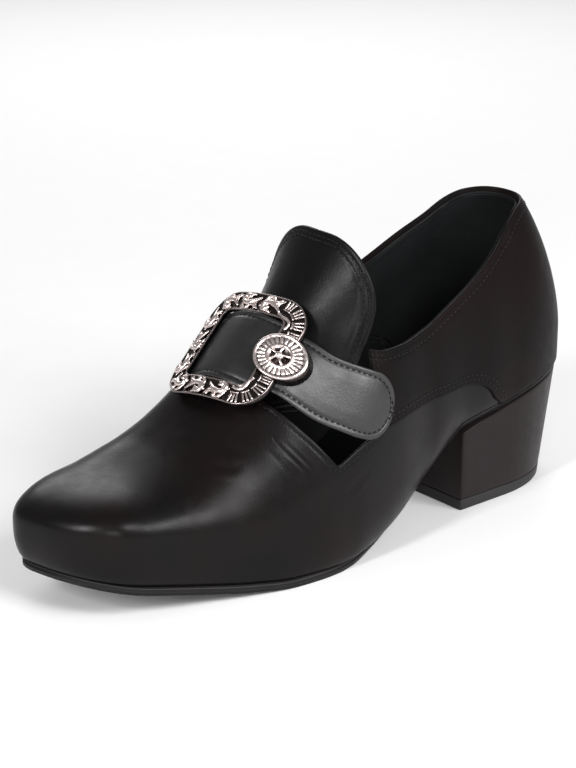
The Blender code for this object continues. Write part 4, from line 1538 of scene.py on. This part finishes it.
class SHOE_OT_stage(bpy.types.Operator):
    """Pale floor, soft studio light and the camera"""

    bl_idname = "shoe.stage"
    bl_label = "Stage"

    def execute(self, context):
        scene = context.scene
        bm = bmesh.new()
        bmesh.ops.create_grid(bm, x_segments=1, y_segments=1, size=FLOOR_HALF)
        mesh = bpy.data.meshes.new("floor")
        bm.to_mesh(mesh)
        bm.free()
        floor = bpy.data.objects.new("floor", mesh)
        scene.collection.objects.link(floor)
        tone = scene.shoe_colours.floor
        mesh.materials.append(plain_finish("floor", tone, 0.9, 30, 0.0, specular=0.05, mottle=1.01))
        world = bpy.data.worlds.new("studio")
        world.use_nodes = True
        sky = world.node_tree.nodes["Background"]
        sky.inputs["Color"].default_value = (1, 1, 1, 1)
        sky.inputs["Strength"].default_value = WORLD_LIGHT
        scene.world = world
        scene.view_settings.view_transform = "Standard"
        for light in STUDIO_LIGHTS:
            soft_light(*light)
        self.add_camera(scene)
        return {"FINISHED"}

    @staticmethod
    def add_camera(scene):
        a, e = math.radians(CAMERA_AZIMUTH), math.radians(CAMERA_ELEVATION)
        back = Vector((math.sin(a) * math.cos(e), -math.cos(a) * math.cos(e), math.sin(e)))
        camera = bpy.data.objects.new("camera", bpy.data.cameras.new("camera"))
        scene.collection.objects.link(camera)
        camera.data.lens = CAMERA_LENS
        camera.data.sensor_width = 36.0
        camera.location = CAMERA_TARGET + back * CAMERA_DISTANCE
        roll = Matrix.Rotation(math.radians(CAMERA_ROLL), 4, "Z")
        camera.rotation_euler = (back.to_track_quat("Z", "Y").to_matrix().to_4x4() @ roll).to_euler()
        scene.camera = camera


class SHOE_PT_panel(bpy.types.Panel):
    """The shoe's pieces, sizes and colours"""

    bl_idname = "SHOE_PT_panel"
    bl_label = "Buckle shoe"
    bl_space_type = "VIEW_3D"
    bl_region_type = "UI"
    bl_category = "Buckle shoe"

    def draw(self, context):
        for step in STEPS:
            self.layout.operator(step.bl_idname)
        for group in (context.scene.shoe_sizes, context.scene.shoe_colours):
            box = self.layout.box()
            for name in group.__annotations__:
                box.prop(group, name)


STEPS = (
    SHOE_OT_vamp,
    SHOE_OT_quarters,
    SHOE_OT_tongue,
    SHOE_OT_strap,
    SHOE_OT_sole,
    SHOE_OT_heel,
    SHOE_OT_buckle,
    SHOE_OT_bar,
    SHOE_OT_stage,
)
CLASSES = (ShoeSizes, ShoeColours, *STEPS, SHOE_PT_panel)


def register():
    for made in CLASSES:
        bpy.utils.register_class(made)
    bpy.types.Scene.shoe_sizes = PointerProperty(type=ShoeSizes)
    bpy.types.Scene.shoe_colours = PointerProperty(type=ShoeColours)


def unregister():
    del bpy.types.Scene.shoe_colours
    del bpy.types.Scene.shoe_sizes
    for made in reversed(CLASSES):
        bpy.utils.unregister_class(made)


def main():
    register()
    for step in STEPS:
        group, name = step.bl_idname.split(".")
        getattr(getattr(bpy.ops, group), name)()


if __name__ == "__main__":
    main()
